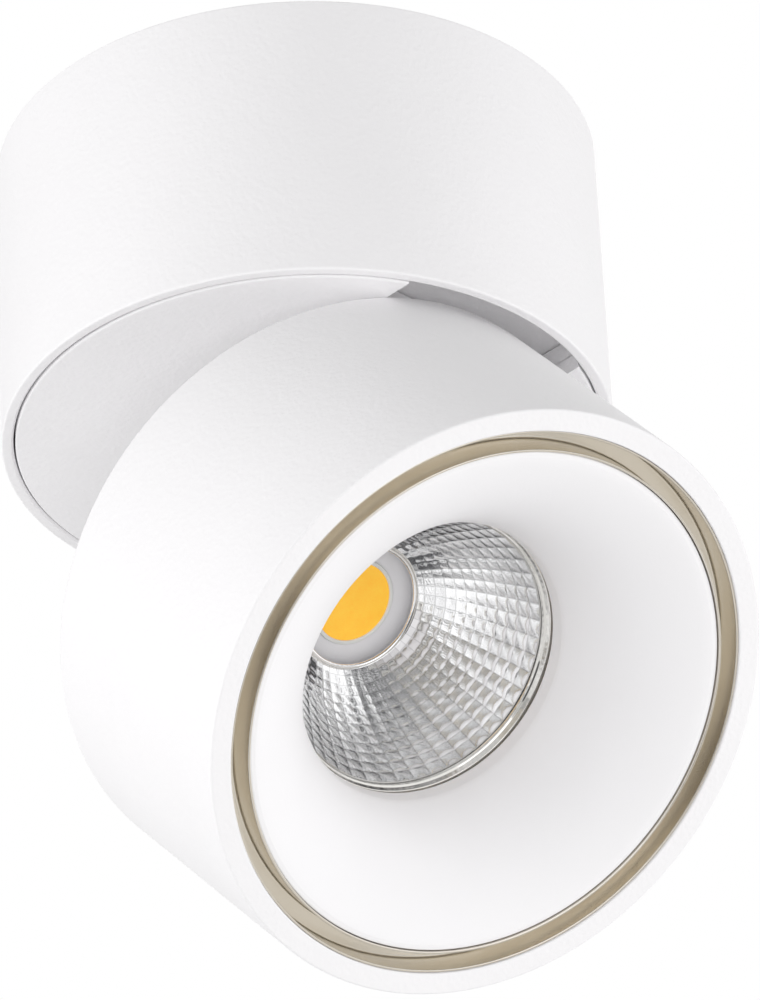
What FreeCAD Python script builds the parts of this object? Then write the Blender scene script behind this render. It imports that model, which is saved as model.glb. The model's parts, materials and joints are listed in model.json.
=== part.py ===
import FreeCAD, Part
import Sketcher
import math
import os

# Surface mounted ceiling spotlight: a round canopy on the ceiling, a flush disc that turns in it, and a round
# head of the same diameter that folds out on a hinge near the disc's rim.
#
# Frame: origin at the centre of the mounting face on the ceiling, +Z up, so the light lies below z = 0.
# The head folds out towards -Y. Millimetres and degrees.
# The head's pieces are drawn in the head's own frame (origin at the centre of its rear face, front at
# z = -head_length) and then placed by HEAD_PLACE: hung under the canopy and turned about the hinge pin.

FITS = {
    "slide_gap": 0.05,              # between faces that slide or almost touch
    "press_gap": 0.02,
    "glue_line": 0.01,
    "thread_gap": 0.03,             # between a thread's cylinder and its hole
    "screw_gap": 0.1,               # round a screw's shank or head
}
SCREWS = {
    "small_screw_radius": 1.4,
    "small_screw_head": 2.6,
    "head_height": 1.6,
    "flat_head_height": 1.2,
    "flat_seat_depth": 1.3,
    "bracket_seat_depth": 1.4,
    "socket_flats": 1.8,
    "socket_depth": 0.9,
    "screw_tip": 1.0,
}
CANOPY = {
    "canopy_radius": 50.0,
    "canopy_top_radius": 49.5,      # the cast wall has a little draft
    "canopy_height": 52.5,
    "canopy_chamfer": 0.3,
    "rim_chamfer": 0.4,             # inside the rim, clears the head's rear corner
    "rim_inner_radius": 48.0,
    "wall_inner_radius": 47.3,
    "web_rise": 6.5,                # from the canopy's lower plane up to the web
    "web_thickness": 2.5,
    "hook_groove_radius": 48.5,
    "hook_groove_top": 6.0,
    "hook_groove_bottom": 8.4,
    "lug_radius": 30.0,             # rotation stop under the web
    "lug_length": 3.0,
    "lug_width": 2.0,
    "lug_drop": 1.5,
    "foot_boss_radius": 3.2,
    "foot_boss_rise": 2.0,
    "boss_hole_depth": 4.0,
}
BRACKET = {
    "strip_half_length": 44.0,
    "strip_half_width": 12.0,
    "strip_thickness": 1.5,
    "slot_centre": 30.0,
    "slot_half_length": 6.5,
    "slot_radius": 2.3,
    "cable_hole_radius": 7.0,
    "grommet_bore": 4.0,
    "grommet_drop": 4.2,
    "grommet_flange": 9.0,
    "grommet_taper": 0.6,
    "ear_half_width": 8.0,
    "ear_drop": 12.0,
    "hook_half_width": 5.0,
    "hook_reach": 47.9,
    "hook_top": 6.6,
    "hook_bottom": 8.1,
    "lock_drop": 7.0,
    "lock_radius": 1.95,
    "lock_inner": 42.0,
    "lock_outer": 49.2,
    "lock_hole_radius": 2.3,
    "lock_socket_flats": 2.0,
    "lock_socket_depth": 2.5,
    "earth_place": 17.0,
    "earth_radius": 1.95,
    "earth_head_radius": 3.6,
    "earth_head_height": 2.5,
    "earth_head_round": 0.8,
    "earth_slot": 0.9,
    "earth_slot_depth": 1.2,
    "earth_washer_radius": 4.3,
    "earth_washer_thickness": 0.8,
}
DRIVER = {
    "driver_half_length": 30.0,
    "driver_near": 12.5,
    "driver_width": 22.0,
    "driver_height": 20.0,
    "driver_wall": 1.5,
    "driver_tab_reach": 37.5,
    "driver_tab_width": 8.0,
    "driver_screw_x": 33.8,
    "driver_screw_y": 16.5,
    "driver_screw_radius": 1.4,
    "driver_head_height": 1.8,
    "driver_tab_thickness": 2.0,
    "cover_lip": 1.5,
    "board_rise": 3.0,
    "board_thickness": 1.6,
    "board_margin": 0.3,
    "transformer_start": -16.2,
    "transformer_margin": 4.0,
    "capacitor_place": 13.5,
    "transformer_length": 18.0,
    "transformer_width": 14.0,
    "transformer_height": 11.0,
    "capacitor_radius": 4.5,
    "capacitor_height": 12.0,
}
TERMINALS = {
    "terminal_half_length": 15.0,
    "terminal_near": 18.0,
    "terminal_width": 14.0,
    "terminal_height": 14.0,
    "terminal_pitch": 10.0,
    "clamp_side": 6.0,
    "clamp_bore": 2.0,
    "clamp_rise": 4.0,
    "clamp_screw_radius": 1.5,
    "clamp_screw_offset": 4.0,
    "clamp_screw_length": 2.4,
    "clamp_screw_gap": 0.15,
    "clamp_end": 0.5,
    "block_screw_radius": 1.4,
}
SWIVEL = {
    "plate_radius": 47.7,
    "plate_thickness": 3.0,
    "recess_half_width": 19.0,
    "recess_inner": 34.2,
    "pocket_wall": 1.2,             # upright walls round the recess
    "pocket_height": 3.2,
    "pocket_reach": 43.6,           # where the walls end at the disc's edge
    "pocket_reach_outer": 43.05,
    "stud_radius": 5.0,
    "stud_bore": 3.2,
    "stud_hole_radius": 5.05,       # running fit in the web
    "spigot_radius": 4.05,
    "spigot_hole_radius": 4.1,
    "flange_radius": 10.0,
    "flange_thickness": 2.0,
    "stud_chamfer": 0.5,
    "stud_top": 35.5,
    "stud_screw_ring": 7.2,
    "washer_bore": 5.15,
    "brake_washer_thickness": 1.0,
    "spring_radius": 8.4,
    "spring_height": 1.2,
    "spring_sheet": 0.5,
    "nut_flats": 14.0,
    "nut_height": 4.0,
    "stop_place": 30.0,
    "stop_radius": 1.3,
    "stop_top": 6.1,
    "stop_depth": 2.1,
    "friction_radius": 9.2,
}
HINGE = {
    "hinge_reach": 41.27,           # pin axis from the canopy's axis, closed and open
    "hinge_drop": 10.25,            # pin axis below the canopy's lower plane
    "rest_tilt": 41.36,
    "pin_radius": 2.0,
    "eye_bore": 2.05,
    "eye_radius": 3.0,
    "arm_inner": 4.6,
    "arm_thickness": 1.8,
    "arm_leg_near": 26.2,
    "arm_leg_far": 31.2,
    "arm_half_height": 2.5,
    "foot_near": 12.0,
    "foot_thickness": 1.8,
    "foot_screw_near": 16.0,
    "foot_screw_far": 22.0,
    "arm_slot_clearance": 0.3,
    "arm_side_gap": 0.2,
    "cover_side_gap": 0.3,
    "lug_inner": 7.25,
    "lug_thickness": 2.6,
    "pin_head_radius": 3.0,
    "pin_head_height": 2.2,
    "pin_socket_flats": 2.5,
    "pin_socket_depth": 1.4,
    "pin_nut_flats": 5.6,
    "pin_nut_height": 2.0,
    "hinge_washer_radius": 3.4,
    "hinge_washer_bore": 2.08,
}
HEAD = {
    "head_radius": 50.0,
    "head_length": 50.8,
    "head_gap": 1.2,                # between disc and rear face, closed
    "head_chamfer": 0.35,
    "head_rear_chamfer": 0.5,
    "head_rear_inner": 47.8,
    "head_inner": 46.6,
    "front_inner": 46.3,
    "front_land": 12.8,             # length of the thick front rim
    "sink_front": 8.2,
    "cover_radius": 47.6,
    "cover_thickness": 2.0,
    "cover_screw_ring": 38.0,
    "cover_slot_near": 25.4,
    "cover_slot_far": 45.0,
    "lug_near": 37.0,
    "lug_far": 44.9,
    "lug_bottom": 13.2,
    "lead_place": 19.0,
    "lead_hole_radius": 4.0,
    "lead_bore": 2.6,
}
SINK = {
    "sink_radius": 47.4,
    "sink_thickness": 3.5,
    "sink_boss_radius": 3.4,
    "sink_thread": 1.5,
    "dish_radius": 13.6,            # sunk seat of the lamp
    "dish_depth": 3.0,
    "dish_boss_radius": 16.4,
    "dish_boss_rise": 2.5,
    "fin_inner": 30.5,
    "fin_outer": 46.2,
    "fin_thickness": 1.6,
    "fin_length": 20.0,
    "fin_count": 24,
    "notch_half_width": 15.0,
    "notch_near": 24.4,
}
LAMP = {
    "pad_thickness": 0.2,
    "board_radius": 13.2,
    "cob_thickness": 1.0,
    "dam_outer": 7.4,
    "light_radius": 6.7,
    "dam_height": 0.5,
    "light_height": 0.4,
    "holder_bore": 14.0,
    "holder_radius": 21.4,
    "holder_height": 2.4,
    "holder_screw_ring": 18.2,
}
OPTIC = {
    "throat_radius": 10.4,
    "mouth_radius": 23.0,
    "throat_depth": 8.3,            # below the head's rear face
    "mouth_depth": 27.4,
    "reflector_wall": 0.8,
    "facet_rings": 12,
    "ring_growth": 0.2,             # how much the rings lengthen towards the mouth
    "flange_edge": 24.4,
    "collar_bore": 23.4,
    "collar_radius": 25.0,
    "collar_lip": 22.95,
    "collar_bead": 0.8,
    "collar_rise": 1.0,
    "collar_shadow": 0.35,          # open gap between collar and neck
    "neck_radius": 23.6,
    "neck_depth": 30.1,
    "cone_edge_radius": 23.9,
    "cone_edge_depth": 32.6,
    "cone_front_radius": 42.6,
    "cone_front_depth": 50.2,
    "cone_bend": 30.3,              # the cone's face is an arc of this radius
    "cone_wall": 1.5,
    "cone_land": 1.2,
    "cone_lip_step": 0.1,
    "skirt_wall": 1.2,
    "skirt_foot": 2.2,
    "neck_wall": 1.95,
    "post_sink": 2.7,               # how far the posts reach past the cone's edge
    "post_thread": 9.0,
    "post_screw_length": 7.0,
    "post_ring": 27.6,
    "post_radius": 2.3,
    "trim_wall": 0.4,
    "trim_bore": 42.7,
    "trim_radius": 46.25,
    "trim_floor": 44.8,
    "skirt_top": 44.5,              # rear end of the cone's skirt, behind the trim's floor
    "trim_front": 50.5,
}
GROUPS = [FITS, SCREWS, CANOPY, BRACKET, DRIVER, TERMINALS, SWIVEL, HINGE, HEAD, SINK, LAMP, OPTIC]

doc = FreeCAD.newDocument("spotlight")
sheet = doc.addObject("Spreadsheet::Sheet", "sizes")
row = 0
for group in GROUPS:
    for name, value in group.items():
        row += 1
        sheet.set(f"A{row}", name)
        sheet.set(f"B{row}", str(value))
        sheet.setAlias(f"B{row}", name)
doc.recompute()


class Size:
    """A length with its value and the formula that ties it to the sheet."""

    def __init__(self, value, formula):
        self.value = value
        self.formula = formula

    def __add__(self, other):
        other = as_size(other)
        return Size(self.value + other.value, f"({self.formula} + {other.formula})")

    def __sub__(self, other):
        other = as_size(other)
        return Size(self.value - other.value, f"({self.formula} - {other.formula})")

    def __mul__(self, other):
        other = as_size(other)
        return Size(self.value * other.value, f"({self.formula} * {other.formula})")

    def __neg__(self):
        return Size(-self.value, f"(0 - {self.formula})")


def as_size(number):
    if isinstance(number, Size):
        return number
    return Size(float(number), repr(round(float(number), 6)))


def size(name):
    return Size(float(sheet.get(name)), f"sizes.{name}")


def bind(feature, prop, length):
    length = as_size(length)
    feature.setExpression(prop, length.formula)


# ---- places that several pieces share ----

canopy_bottom = -size("canopy_height")
web_under = canopy_bottom + size("web_rise")
web_top = web_under + size("web_thickness")
plate_top = canopy_bottom + size("plate_thickness")
flange_top = plate_top + size("flange_thickness")
foot_top = plate_top + size("foot_thickness")
cover_inner = -size("cover_thickness")
sink_front = -size("sink_front")
sink_rear = sink_front + size("sink_thickness")
dish_floor = sink_front + size("dish_depth")
head_front = -size("head_length")
pin_y = -size("hinge_reach")
pin_head_z = size("head_gap") - size("hinge_drop")      # pin height in the head's frame
pin_z = canopy_bottom - size("hinge_drop")

HEAD_PLACE = {
    "y": "cos(sizes.rest_tilt * 1 deg) * sizes.hinge_reach - sizes.hinge_reach"
         " + sin(sizes.rest_tilt * 1 deg) * (sizes.hinge_drop - sizes.head_gap)",
    "z": "0 - sizes.canopy_height - sizes.hinge_drop - sin(sizes.rest_tilt * 1 deg) * sizes.hinge_reach"
         " + cos(sizes.rest_tilt * 1 deg) * (sizes.hinge_drop - sizes.head_gap)",
}
PARTS = []


# ---- ways of making a piece ----

def piece(label, tilted=False):
    """A new piece. A tilted one belongs to the head and hangs from the hinge pin."""
    body = doc.addObject("PartDesign::Body", label)
    body.Label = label
    body.AllowCompound = True
    if tilted:
        tilt = size("rest_tilt")
        body.Placement = FreeCAD.Placement(
            FreeCAD.Vector(0, 0, 0), FreeCAD.Rotation(FreeCAD.Vector(-1, 0, 0), tilt.value)
        )
        body.setExpression("Placement.Rotation.Angle", tilt.formula + " * 1 deg")
        body.setExpression("Placement.Base.y", HEAD_PLACE["y"])
        body.setExpression("Placement.Base.z", HEAD_PLACE["z"])
    PARTS.append(body)
    return body


def origin_item(body, role):
    return [item for item in body.Origin.OriginFeatures if item.Role == role][0]


def new_sketch(body, plane="XZ_Plane", offset=None):
    sketch = body.newObject("Sketcher::SketchObject", body.Label + "_sketch")
    sketch.AttachmentSupport = [(origin_item(body, plane), "")]
    sketch.MapMode = "FlatFace"
    if offset is not None:
        offset = as_size(offset)
        sketch.AttachmentOffset = FreeCAD.Placement(FreeCAD.Vector(0, 0, offset.value), FreeCAD.Rotation())
        sketch.setExpression("AttachmentOffset.Base.z", offset.formula)
    return sketch


def tie(sketch, geometry, vertex, x, y):
    """Ties a vertex of the sketch to a place given as two sizes."""
    for kind, axis, length in (("DistanceX", -2, as_size(x)), ("DistanceY", -1, as_size(y))):
        if abs(length.value) < 1e-9:
            sketch.addConstraint(Sketcher.Constraint("PointOnObject", geometry, vertex, axis))
            continue
        number = sketch.addConstraint(Sketcher.Constraint(kind, -1, 1, geometry, vertex, length.value))
        sketch.setExpression(f"Constraints[{number}]", length.formula)


def bent_side(start, end, radius):
    """Arc from start to end. It turns left for a positive radius and right for a negative one."""
    chord = end - start
    normal = FreeCAD.Vector(-chord.y, chord.x, 0).normalize() * math.copysign(1, radius)
    centre = start + chord * 0.5 + normal * math.sqrt(radius ** 2 - (chord.Length / 2) ** 2)
    low, high = (start, end) if radius > 0 else (end, start)
    angles = [math.atan2(point.y - centre.y, point.x - centre.x) for point in (low, high)]
    circle = Part.Circle(centre, FreeCAD.Vector(0, 0, 1), abs(radius))
    return Part.ArcOfCircle(circle, angles[0], angles[1])


def outline(sketch, points, bends=None):
    """A closed outline through points, each a pair of sizes. A side is straight unless bends names it."""
    bends = bends or {}
    places = [(as_size(x), as_size(y)) for x, y in points]
    first = sketch.GeometryCount
    count = len(places)
    heads = []
    for i in range(count):
        start, end = (FreeCAD.Vector(x.value, y.value, 0) for x, y in (places[i], places[(i + 1) % count]))
        heads.append(2 if i in bends and bends[i].value < 0 else 1)
        if i not in bends:
            sketch.addGeometry(Part.LineSegment(start, end), False)
            continue
        number = sketch.addGeometry(bent_side(start, end, bends[i].value), False)
        bend = bends[i] if bends[i].value > 0 else -bends[i]
        rule = sketch.addConstraint(Sketcher.Constraint("Radius", number, bend.value))
        sketch.setExpression(f"Constraints[{rule}]", bend.formula)
    for i in range(count):
        j = (i + 1) % count
        sketch.addConstraint(Sketcher.Constraint("Coincident", first + i, 3 - heads[i], first + j, heads[j]))
    for i, (x, y) in enumerate(places):
        tie(sketch, first + i, heads[i], x, y)


def box_outline(sketch, x0, y0, x1, y1):
    outline(sketch, [(x0, y0), (x1, y0), (x1, y1), (x0, y1)])


def round_outline(sketch, x, y, radius):
    x, y, radius = as_size(x), as_size(y), as_size(radius)
    centre = FreeCAD.Vector(x.value, y.value, 0)
    number = sketch.addGeometry(Part.Circle(centre, FreeCAD.Vector(0, 0, 1), radius.value), False)
    tie_number = sketch.addConstraint(Sketcher.Constraint("Radius", number, radius.value))
    sketch.setExpression(f"Constraints[{tie_number}]", radius.formula)
    tie(sketch, number, 3, x, y)


def hexagon(sketch, x, y, flats):
    """A hexagon of the given width across flats about a centre."""
    corner = as_size(flats) * (1 / math.sqrt(3))
    points = []
    for i in range(6):
        angle = math.radians(60 * i)
        points.append((as_size(x) + corner * math.cos(angle), as_size(y) + corner * math.sin(angle)))
    outline(sketch, points)


def turned(body, points, at=None, bends=None):
    """Turns a profile of (radius, height) about the vertical axis, or about one parallel to it at x = at."""
    sketch = new_sketch(body)
    if at is None:
        outline(sketch, points, bends)
        axis = "V_Axis"
    else:
        at = as_size(at)
        outline(sketch, [(at + as_size(r), z) for r, z in points])
        low, high = FreeCAD.Vector(at.value, -1, 0), FreeCAD.Vector(at.value, -2, 0)
        line = sketch.addGeometry(Part.LineSegment(low, high), True)
        tie(sketch, line, 1, at, -1)
        tie(sketch, line, 2, at, -2)
        axis = "Axis0"
    feature = body.newObject("PartDesign::Revolution", body.Label + "_turned")
    feature.Profile = sketch
    feature.ReferenceAxis = (sketch, [axis])
    feature.Angle = 360
    body.Tip = feature
    doc.recompute()
    return feature


def padded(body, sketch, length):
    feature = body.newObject("PartDesign::Pad", body.Label + "_pad")
    feature.Profile = sketch
    feature.Length = as_size(length).value
    bind(feature, "Length", length)
    body.Tip = feature
    doc.recompute()
    return feature


def cut(body, sketch, length, reverse=False):
    """Cuts the sketch into the piece, against its normal or, reversed, along it."""
    before = body.Shape.Volume
    feature = body.newObject("PartDesign::Pocket", body.Label + "_cut")
    feature.Profile = sketch
    feature.Length = as_size(length).value
    feature.Reversed = reverse
    bind(feature, "Length", length)
    body.Tip = feature
    doc.recompute()
    assert body.Shape.Volume < before - 1e-3, f"{body.Label}: a cut took nothing away"
    return feature


def piece_tool(body, points, at):
    """Removes a turned profile about a vertical line at x = at."""
    before = body.Shape.Volume
    sketch = new_sketch(body)
    at = as_size(at)
    outline(sketch, [(at + as_size(r), z) for r, z in points])
    low, high = FreeCAD.Vector(at.value, -1, 0), FreeCAD.Vector(at.value, -2, 0)
    line = sketch.addGeometry(Part.LineSegment(low, high), True)
    tie(sketch, line, 1, at, -1)
    tie(sketch, line, 2, at, -2)
    feature = body.newObject("PartDesign::Groove", body.Label + "_seat")
    feature.Profile = sketch
    feature.ReferenceAxis = (sketch, ["Axis0"])
    feature.Angle = 360
    body.Tip = feature
    doc.recompute()
    assert body.Shape.Volume < before - 1e-3, f"{body.Label}: a seat took nothing away"
    return feature


def drill(body, reach, shank, head):
    """A countersunk hole through the swivel plate from below, on the -Y side."""
    hole = new_sketch(body, "XY_Plane", plate_top)
    round_outline(hole, 0, -reach, shank)
    cut(body, hole, size("plate_thickness"))
    depth = size("bracket_seat_depth")
    sink = new_sketch(body, "XY_Plane", canopy_bottom + depth)
    round_outline(sink, 0, -reach, head)
    cut(body, sink, depth)


def around(body, features, count):
    """Repeats features in a circle about the vertical axis."""
    pattern = body.newObject("PartDesign::PolarPattern", body.Label + "_around")
    pattern.Originals = features
    pattern.Axis = (origin_item(body, "Z_Axis"), [""])
    pattern.Angle = 360
    pattern.Occurrences = int(as_size(count).value)
    body.Tip = pattern
    doc.recompute()
    return pattern


def mirrored(body, features, plane="YZ_Plane"):
    pattern = body.newObject("PartDesign::Mirrored", body.Label + "_mirrored")
    pattern.Originals = features
    pattern.MirrorPlane = (origin_item(body, plane), [""])
    body.Tip = pattern
    doc.recompute()
    return pattern


def block(label, x0, y0, z0, length, width, height):
    """A rectangular piece from its lowest corner."""
    solid = doc.addObject("Part::Box", label)
    solid.Label = label
    for prop, amount in (("Length", length), ("Width", width), ("Height", height)):
        bind(solid, prop, amount)
    for prop, amount in (("x", x0), ("y", y0), ("z", z0)):
        bind(solid, "Placement.Base." + prop, amount)
    PARTS.append(solid)
    return solid


def tube(label, outer, bore, low, height):
    """A plain washer or tube on the vertical axis."""
    body = piece(label)
    sketch = new_sketch(body, "XY_Plane", low)
    round_outline(sketch, 0, 0, outer)
    round_outline(sketch, 0, 0, bore)
    padded(body, sketch, height)
    return body


def countersunk(radius, head, face, tip, sign):
    """Profile of a countersunk screw with its flat head at height face and its tip at height tip."""
    radius, head, face = as_size(radius), as_size(head), as_size(face)
    sink = (head - radius) * sign
    return [(0, face), (head, face), (radius, face + sink), (radius, tip), (0, tip)]


# ---- canopy ----

def base_housing():
    """Cast canopy: outer wall, web with the stud's bore, hook groove, screw bosses and the rotation stop."""
    body = piece("base_housing")
    radius, chamfer, wall = size("canopy_radius"), size("canopy_chamfer"), size("wall_inner_radius")
    groove, bore, rim = size("hook_groove_radius"), size("stud_hole_radius"), size("rim_inner_radius")
    turned(body, [
        (bore, web_under), (rim, web_under), (rim, canopy_bottom + size("rim_chamfer")),
        (rim + size("rim_chamfer"), canopy_bottom), (radius - chamfer, canopy_bottom),
        (radius, canopy_bottom + chamfer), (size("canopy_top_radius"), 0),
        (wall, 0), (wall, -size("hook_groove_top")), (groove, -size("hook_groove_top")),
        (groove, -size("hook_groove_bottom")), (wall, -size("hook_groove_bottom")), (wall, web_top),
        (bore, web_top),
    ])
    bosses = new_sketch(body, "XY_Plane", web_top)
    screw_x, screw_y = size("driver_screw_x"), size("driver_screw_y")
    for side in (1, -1):
        round_outline(bosses, screw_x * side, screw_y, size("foot_boss_radius"))
    padded(body, bosses, size("foot_boss_rise"))
    pilots = new_sketch(body, "XY_Plane", web_top + size("foot_boss_rise"))
    block_middle = -(size("terminal_near") + size("terminal_width") * 0.5)
    for side in (1, -1):
        round_outline(pilots, screw_x * side, screw_y, size("driver_screw_radius"))
        round_outline(pilots, size("terminal_pitch") * 0.5 * side, block_middle, size("block_screw_radius"))
    cut(body, pilots, size("boss_hole_depth"))
    lug = new_sketch(body, "XY_Plane", web_under - size("lug_drop"))
    half = size("lug_length") * 0.5
    width = size("lug_width") * 0.5
    box_outline(lug, -(size("lug_radius") + half), -width, half - size("lug_radius"), width)
    padded(body, lug, size("lug_drop"))
    hole = new_sketch(body, "YZ_Plane", size("canopy_radius"))
    round_outline(hole, 0, -size("lock_drop"), size("lock_hole_radius"))
    cut(body, hole, size("canopy_radius") - size("lock_inner"))


def ceiling_bracket():
    """Steel strip with two slots, a hook at one end and a threaded ear at the other."""
    body = piece("ceiling_bracket")
    length, width, sheet_metal = size("strip_half_length"), size("strip_half_width"), size("strip_thickness")
    strip = new_sketch(body, "XY_Plane", -sheet_metal)
    box_outline(strip, -length, -width, length, width)
    padded(body, strip, sheet_metal)
    ear = new_sketch(body, "YZ_Plane", length - sheet_metal)
    box_outline(ear, -size("ear_half_width"), -size("ear_drop"), size("ear_half_width"), -sheet_metal)
    padded(body, ear, sheet_metal)
    hook = new_sketch(body, "YZ_Plane", -length)
    hook_half, hook_low = size("hook_half_width"), -size("hook_bottom")
    box_outline(hook, -hook_half, hook_low, hook_half, -sheet_metal)
    padded(body, hook, sheet_metal)
    tongue = new_sketch(body, "YZ_Plane", -size("hook_reach"))
    box_outline(tongue, -hook_half, hook_low, hook_half, -size("hook_top"))
    padded(body, tongue, size("hook_reach") - length)
    holes = new_sketch(body, "XY_Plane", 0)
    round_outline(holes, 0, 0, size("cable_hole_radius"))
    round_outline(holes, size("earth_place"), 0, size("earth_radius") + size("slide_gap"))
    cut(body, holes, sheet_metal)
    for side in (1, -1):
        slot = new_sketch(body, "XY_Plane", 0)
        reach, radius = size("slot_half_length") - size("slot_radius"), size("slot_radius")
        middle = size("slot_centre") * side
        box_outline(slot, middle - reach, -radius, middle + reach, radius)
        cut(body, slot, sheet_metal)
        for end in (1, -1):
            rounding = new_sketch(body, "XY_Plane", 0)
            round_outline(rounding, middle + reach * end, 0, radius)
            cut(body, rounding, sheet_metal)
    thread = new_sketch(body, "YZ_Plane", length)
    round_outline(thread, 0, -size("lock_drop"), size("lock_radius") + size("slide_gap"))
    cut(body, thread, sheet_metal)


def cable_grommet():
    """Rubber bush: a neck in the bracket's hole and a tapered flange under it."""
    body = piece("cable_grommet")
    bore, gap = size("grommet_bore"), size("slide_gap")
    neck = size("cable_hole_radius") - gap
    flange, under = size("grommet_flange"), -(size("strip_thickness") + gap)
    low = -size("grommet_drop")
    turned(body, [
        (bore, -gap), (neck, -gap), (neck, under), (flange, under), (flange - size("grommet_taper"), low),
        (bore, low),
    ])


def earth_connection():
    """Brass screw with a slotted head under the bracket, and its washer."""
    place, shank, head = size("earth_place"), size("earth_radius"), size("earth_head_radius")
    washer_top = -(size("strip_thickness") + size("press_gap"))
    washer_low = washer_top - size("earth_washer_thickness")
    bore, rim = shank + size("screw_gap"), size("earth_washer_radius")
    washer = piece("earth_washer")
    turned(washer, [(bore, washer_top), (rim, washer_top), (rim, washer_low), (bore, washer_low)], at=place)
    head_top = washer_low - size("slide_gap")
    head_low, rounding = head_top - size("earth_head_height"), size("earth_head_round")
    tip = -size("screw_gap")
    screw = piece("earth_screw")
    turned(screw, [
        (0, tip), (shank, tip), (shank, head_top), (head, head_top), (head, head_low + rounding),
        (head - rounding, head_low), (0, head_low),
    ], at=place)
    slot = new_sketch(screw, "XY_Plane", head_low + size("earth_slot_depth"))
    half = size("earth_slot") * 0.5
    box_outline(slot, place - head, -half, place + head, half)
    cut(screw, slot, size("earth_slot_depth"))


def locking_screw():
    """Grub screw through the wall into the bracket's ear, with a hexagon socket outside."""
    body = piece("locking_screw")
    shank = new_sketch(body, "YZ_Plane", size("lock_inner"))
    round_outline(shank, 0, -size("lock_drop"), size("lock_radius"))
    padded(body, shank, size("lock_outer") - size("lock_inner"))
    socket = new_sketch(body, "YZ_Plane", size("lock_outer"))
    hexagon(socket, 0, -size("lock_drop"), size("lock_socket_flats"))
    cut(body, socket, size("lock_socket_depth"))


def driver():
    """Driver in a moulded case with screw tabs, its cover, its board and the two tallest parts on it."""
    half, near, width = size("driver_half_length"), size("driver_near"), size("driver_width")
    gap, wall, height = size("slide_gap"), size("driver_wall"), size("driver_height")
    floor = web_top + gap
    far, top = near + width, floor + height
    case = piece("driver_case")
    shell = new_sketch(case, "XY_Plane", floor)
    box_outline(shell, -half, near, half, far)
    padded(case, shell, height)
    hollow = new_sketch(case, "XY_Plane", top)
    box_outline(hollow, wall - half, near + wall, half - wall, far - wall)
    cut(case, hollow, height - wall)
    tab_floor = web_top + size("foot_boss_rise") + gap
    tab_top = tab_floor + size("driver_tab_thickness")
    screw_x, screw_y, radius = size("driver_screw_x"), size("driver_screw_y"), size("driver_screw_radius")
    for side in (1, -1):
        tab = new_sketch(case, "XY_Plane", tab_floor)
        reach = size("driver_tab_reach") * side
        box_outline(tab, (half - wall) * side, near, reach, near + size("driver_tab_width"))
        padded(case, tab, size("driver_tab_thickness"))
        hole = new_sketch(case, "XY_Plane", tab_top)
        round_outline(hole, screw_x * side, screw_y, radius + size("screw_gap") * 2)
        cut(case, hole, size("driver_tab_thickness"))
    cover = piece("driver_cover")
    lid = new_sketch(cover, "XY_Plane", top + gap)
    box_outline(lid, -half, near, half, far)
    padded(cover, lid, wall)
    lip = new_sketch(cover, "XY_Plane", top - size("cover_lip"))
    inset = wall + size("screw_gap")
    box_outline(lip, inset - half, near + inset, half - inset, far - inset)
    padded(cover, lip, size("cover_lip") + gap * 2)
    board_floor = floor + wall + size("board_rise")
    inner = wall + size("board_margin")
    block("driver_board", inner - half, near + inner, board_floor, (half - inner) * 2, width - inner * 2,
          size("board_thickness"))
    parts_floor = board_floor + size("board_thickness")
    block("driver_transformer", size("transformer_start"), near + size("transformer_margin"), parts_floor,
          size("transformer_length"), size("transformer_width"), size("transformer_height"))
    can = piece("driver_capacitor")
    ring = new_sketch(can, "XY_Plane", parts_floor)
    round_outline(ring, size("capacitor_place"), near + width * 0.5, size("capacitor_radius"))
    padded(can, ring, size("capacitor_height"))
    screws = piece("driver_screws")
    tip = web_top + size("foot_boss_rise") - size("boss_hole_depth") + size("screw_gap")
    for side in (1, -1):
        shank = new_sketch(screws, "XY_Plane", tip)
        round_outline(shank, screw_x * side, screw_y, radius - gap)
        padded(screws, shank, tab_top + gap - tip)
        cap = new_sketch(screws, "XY_Plane", tab_top)
        round_outline(cap, screw_x * side, screw_y, size("small_screw_head"))
        padded(screws, cap, size("driver_head_height"))
        socket = new_sketch(screws, "XY_Plane", tab_top + size("driver_head_height"))
        hexagon(socket, screw_x * side, screw_y, size("socket_flats"))
        cut(screws, socket, size("socket_depth"))


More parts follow.
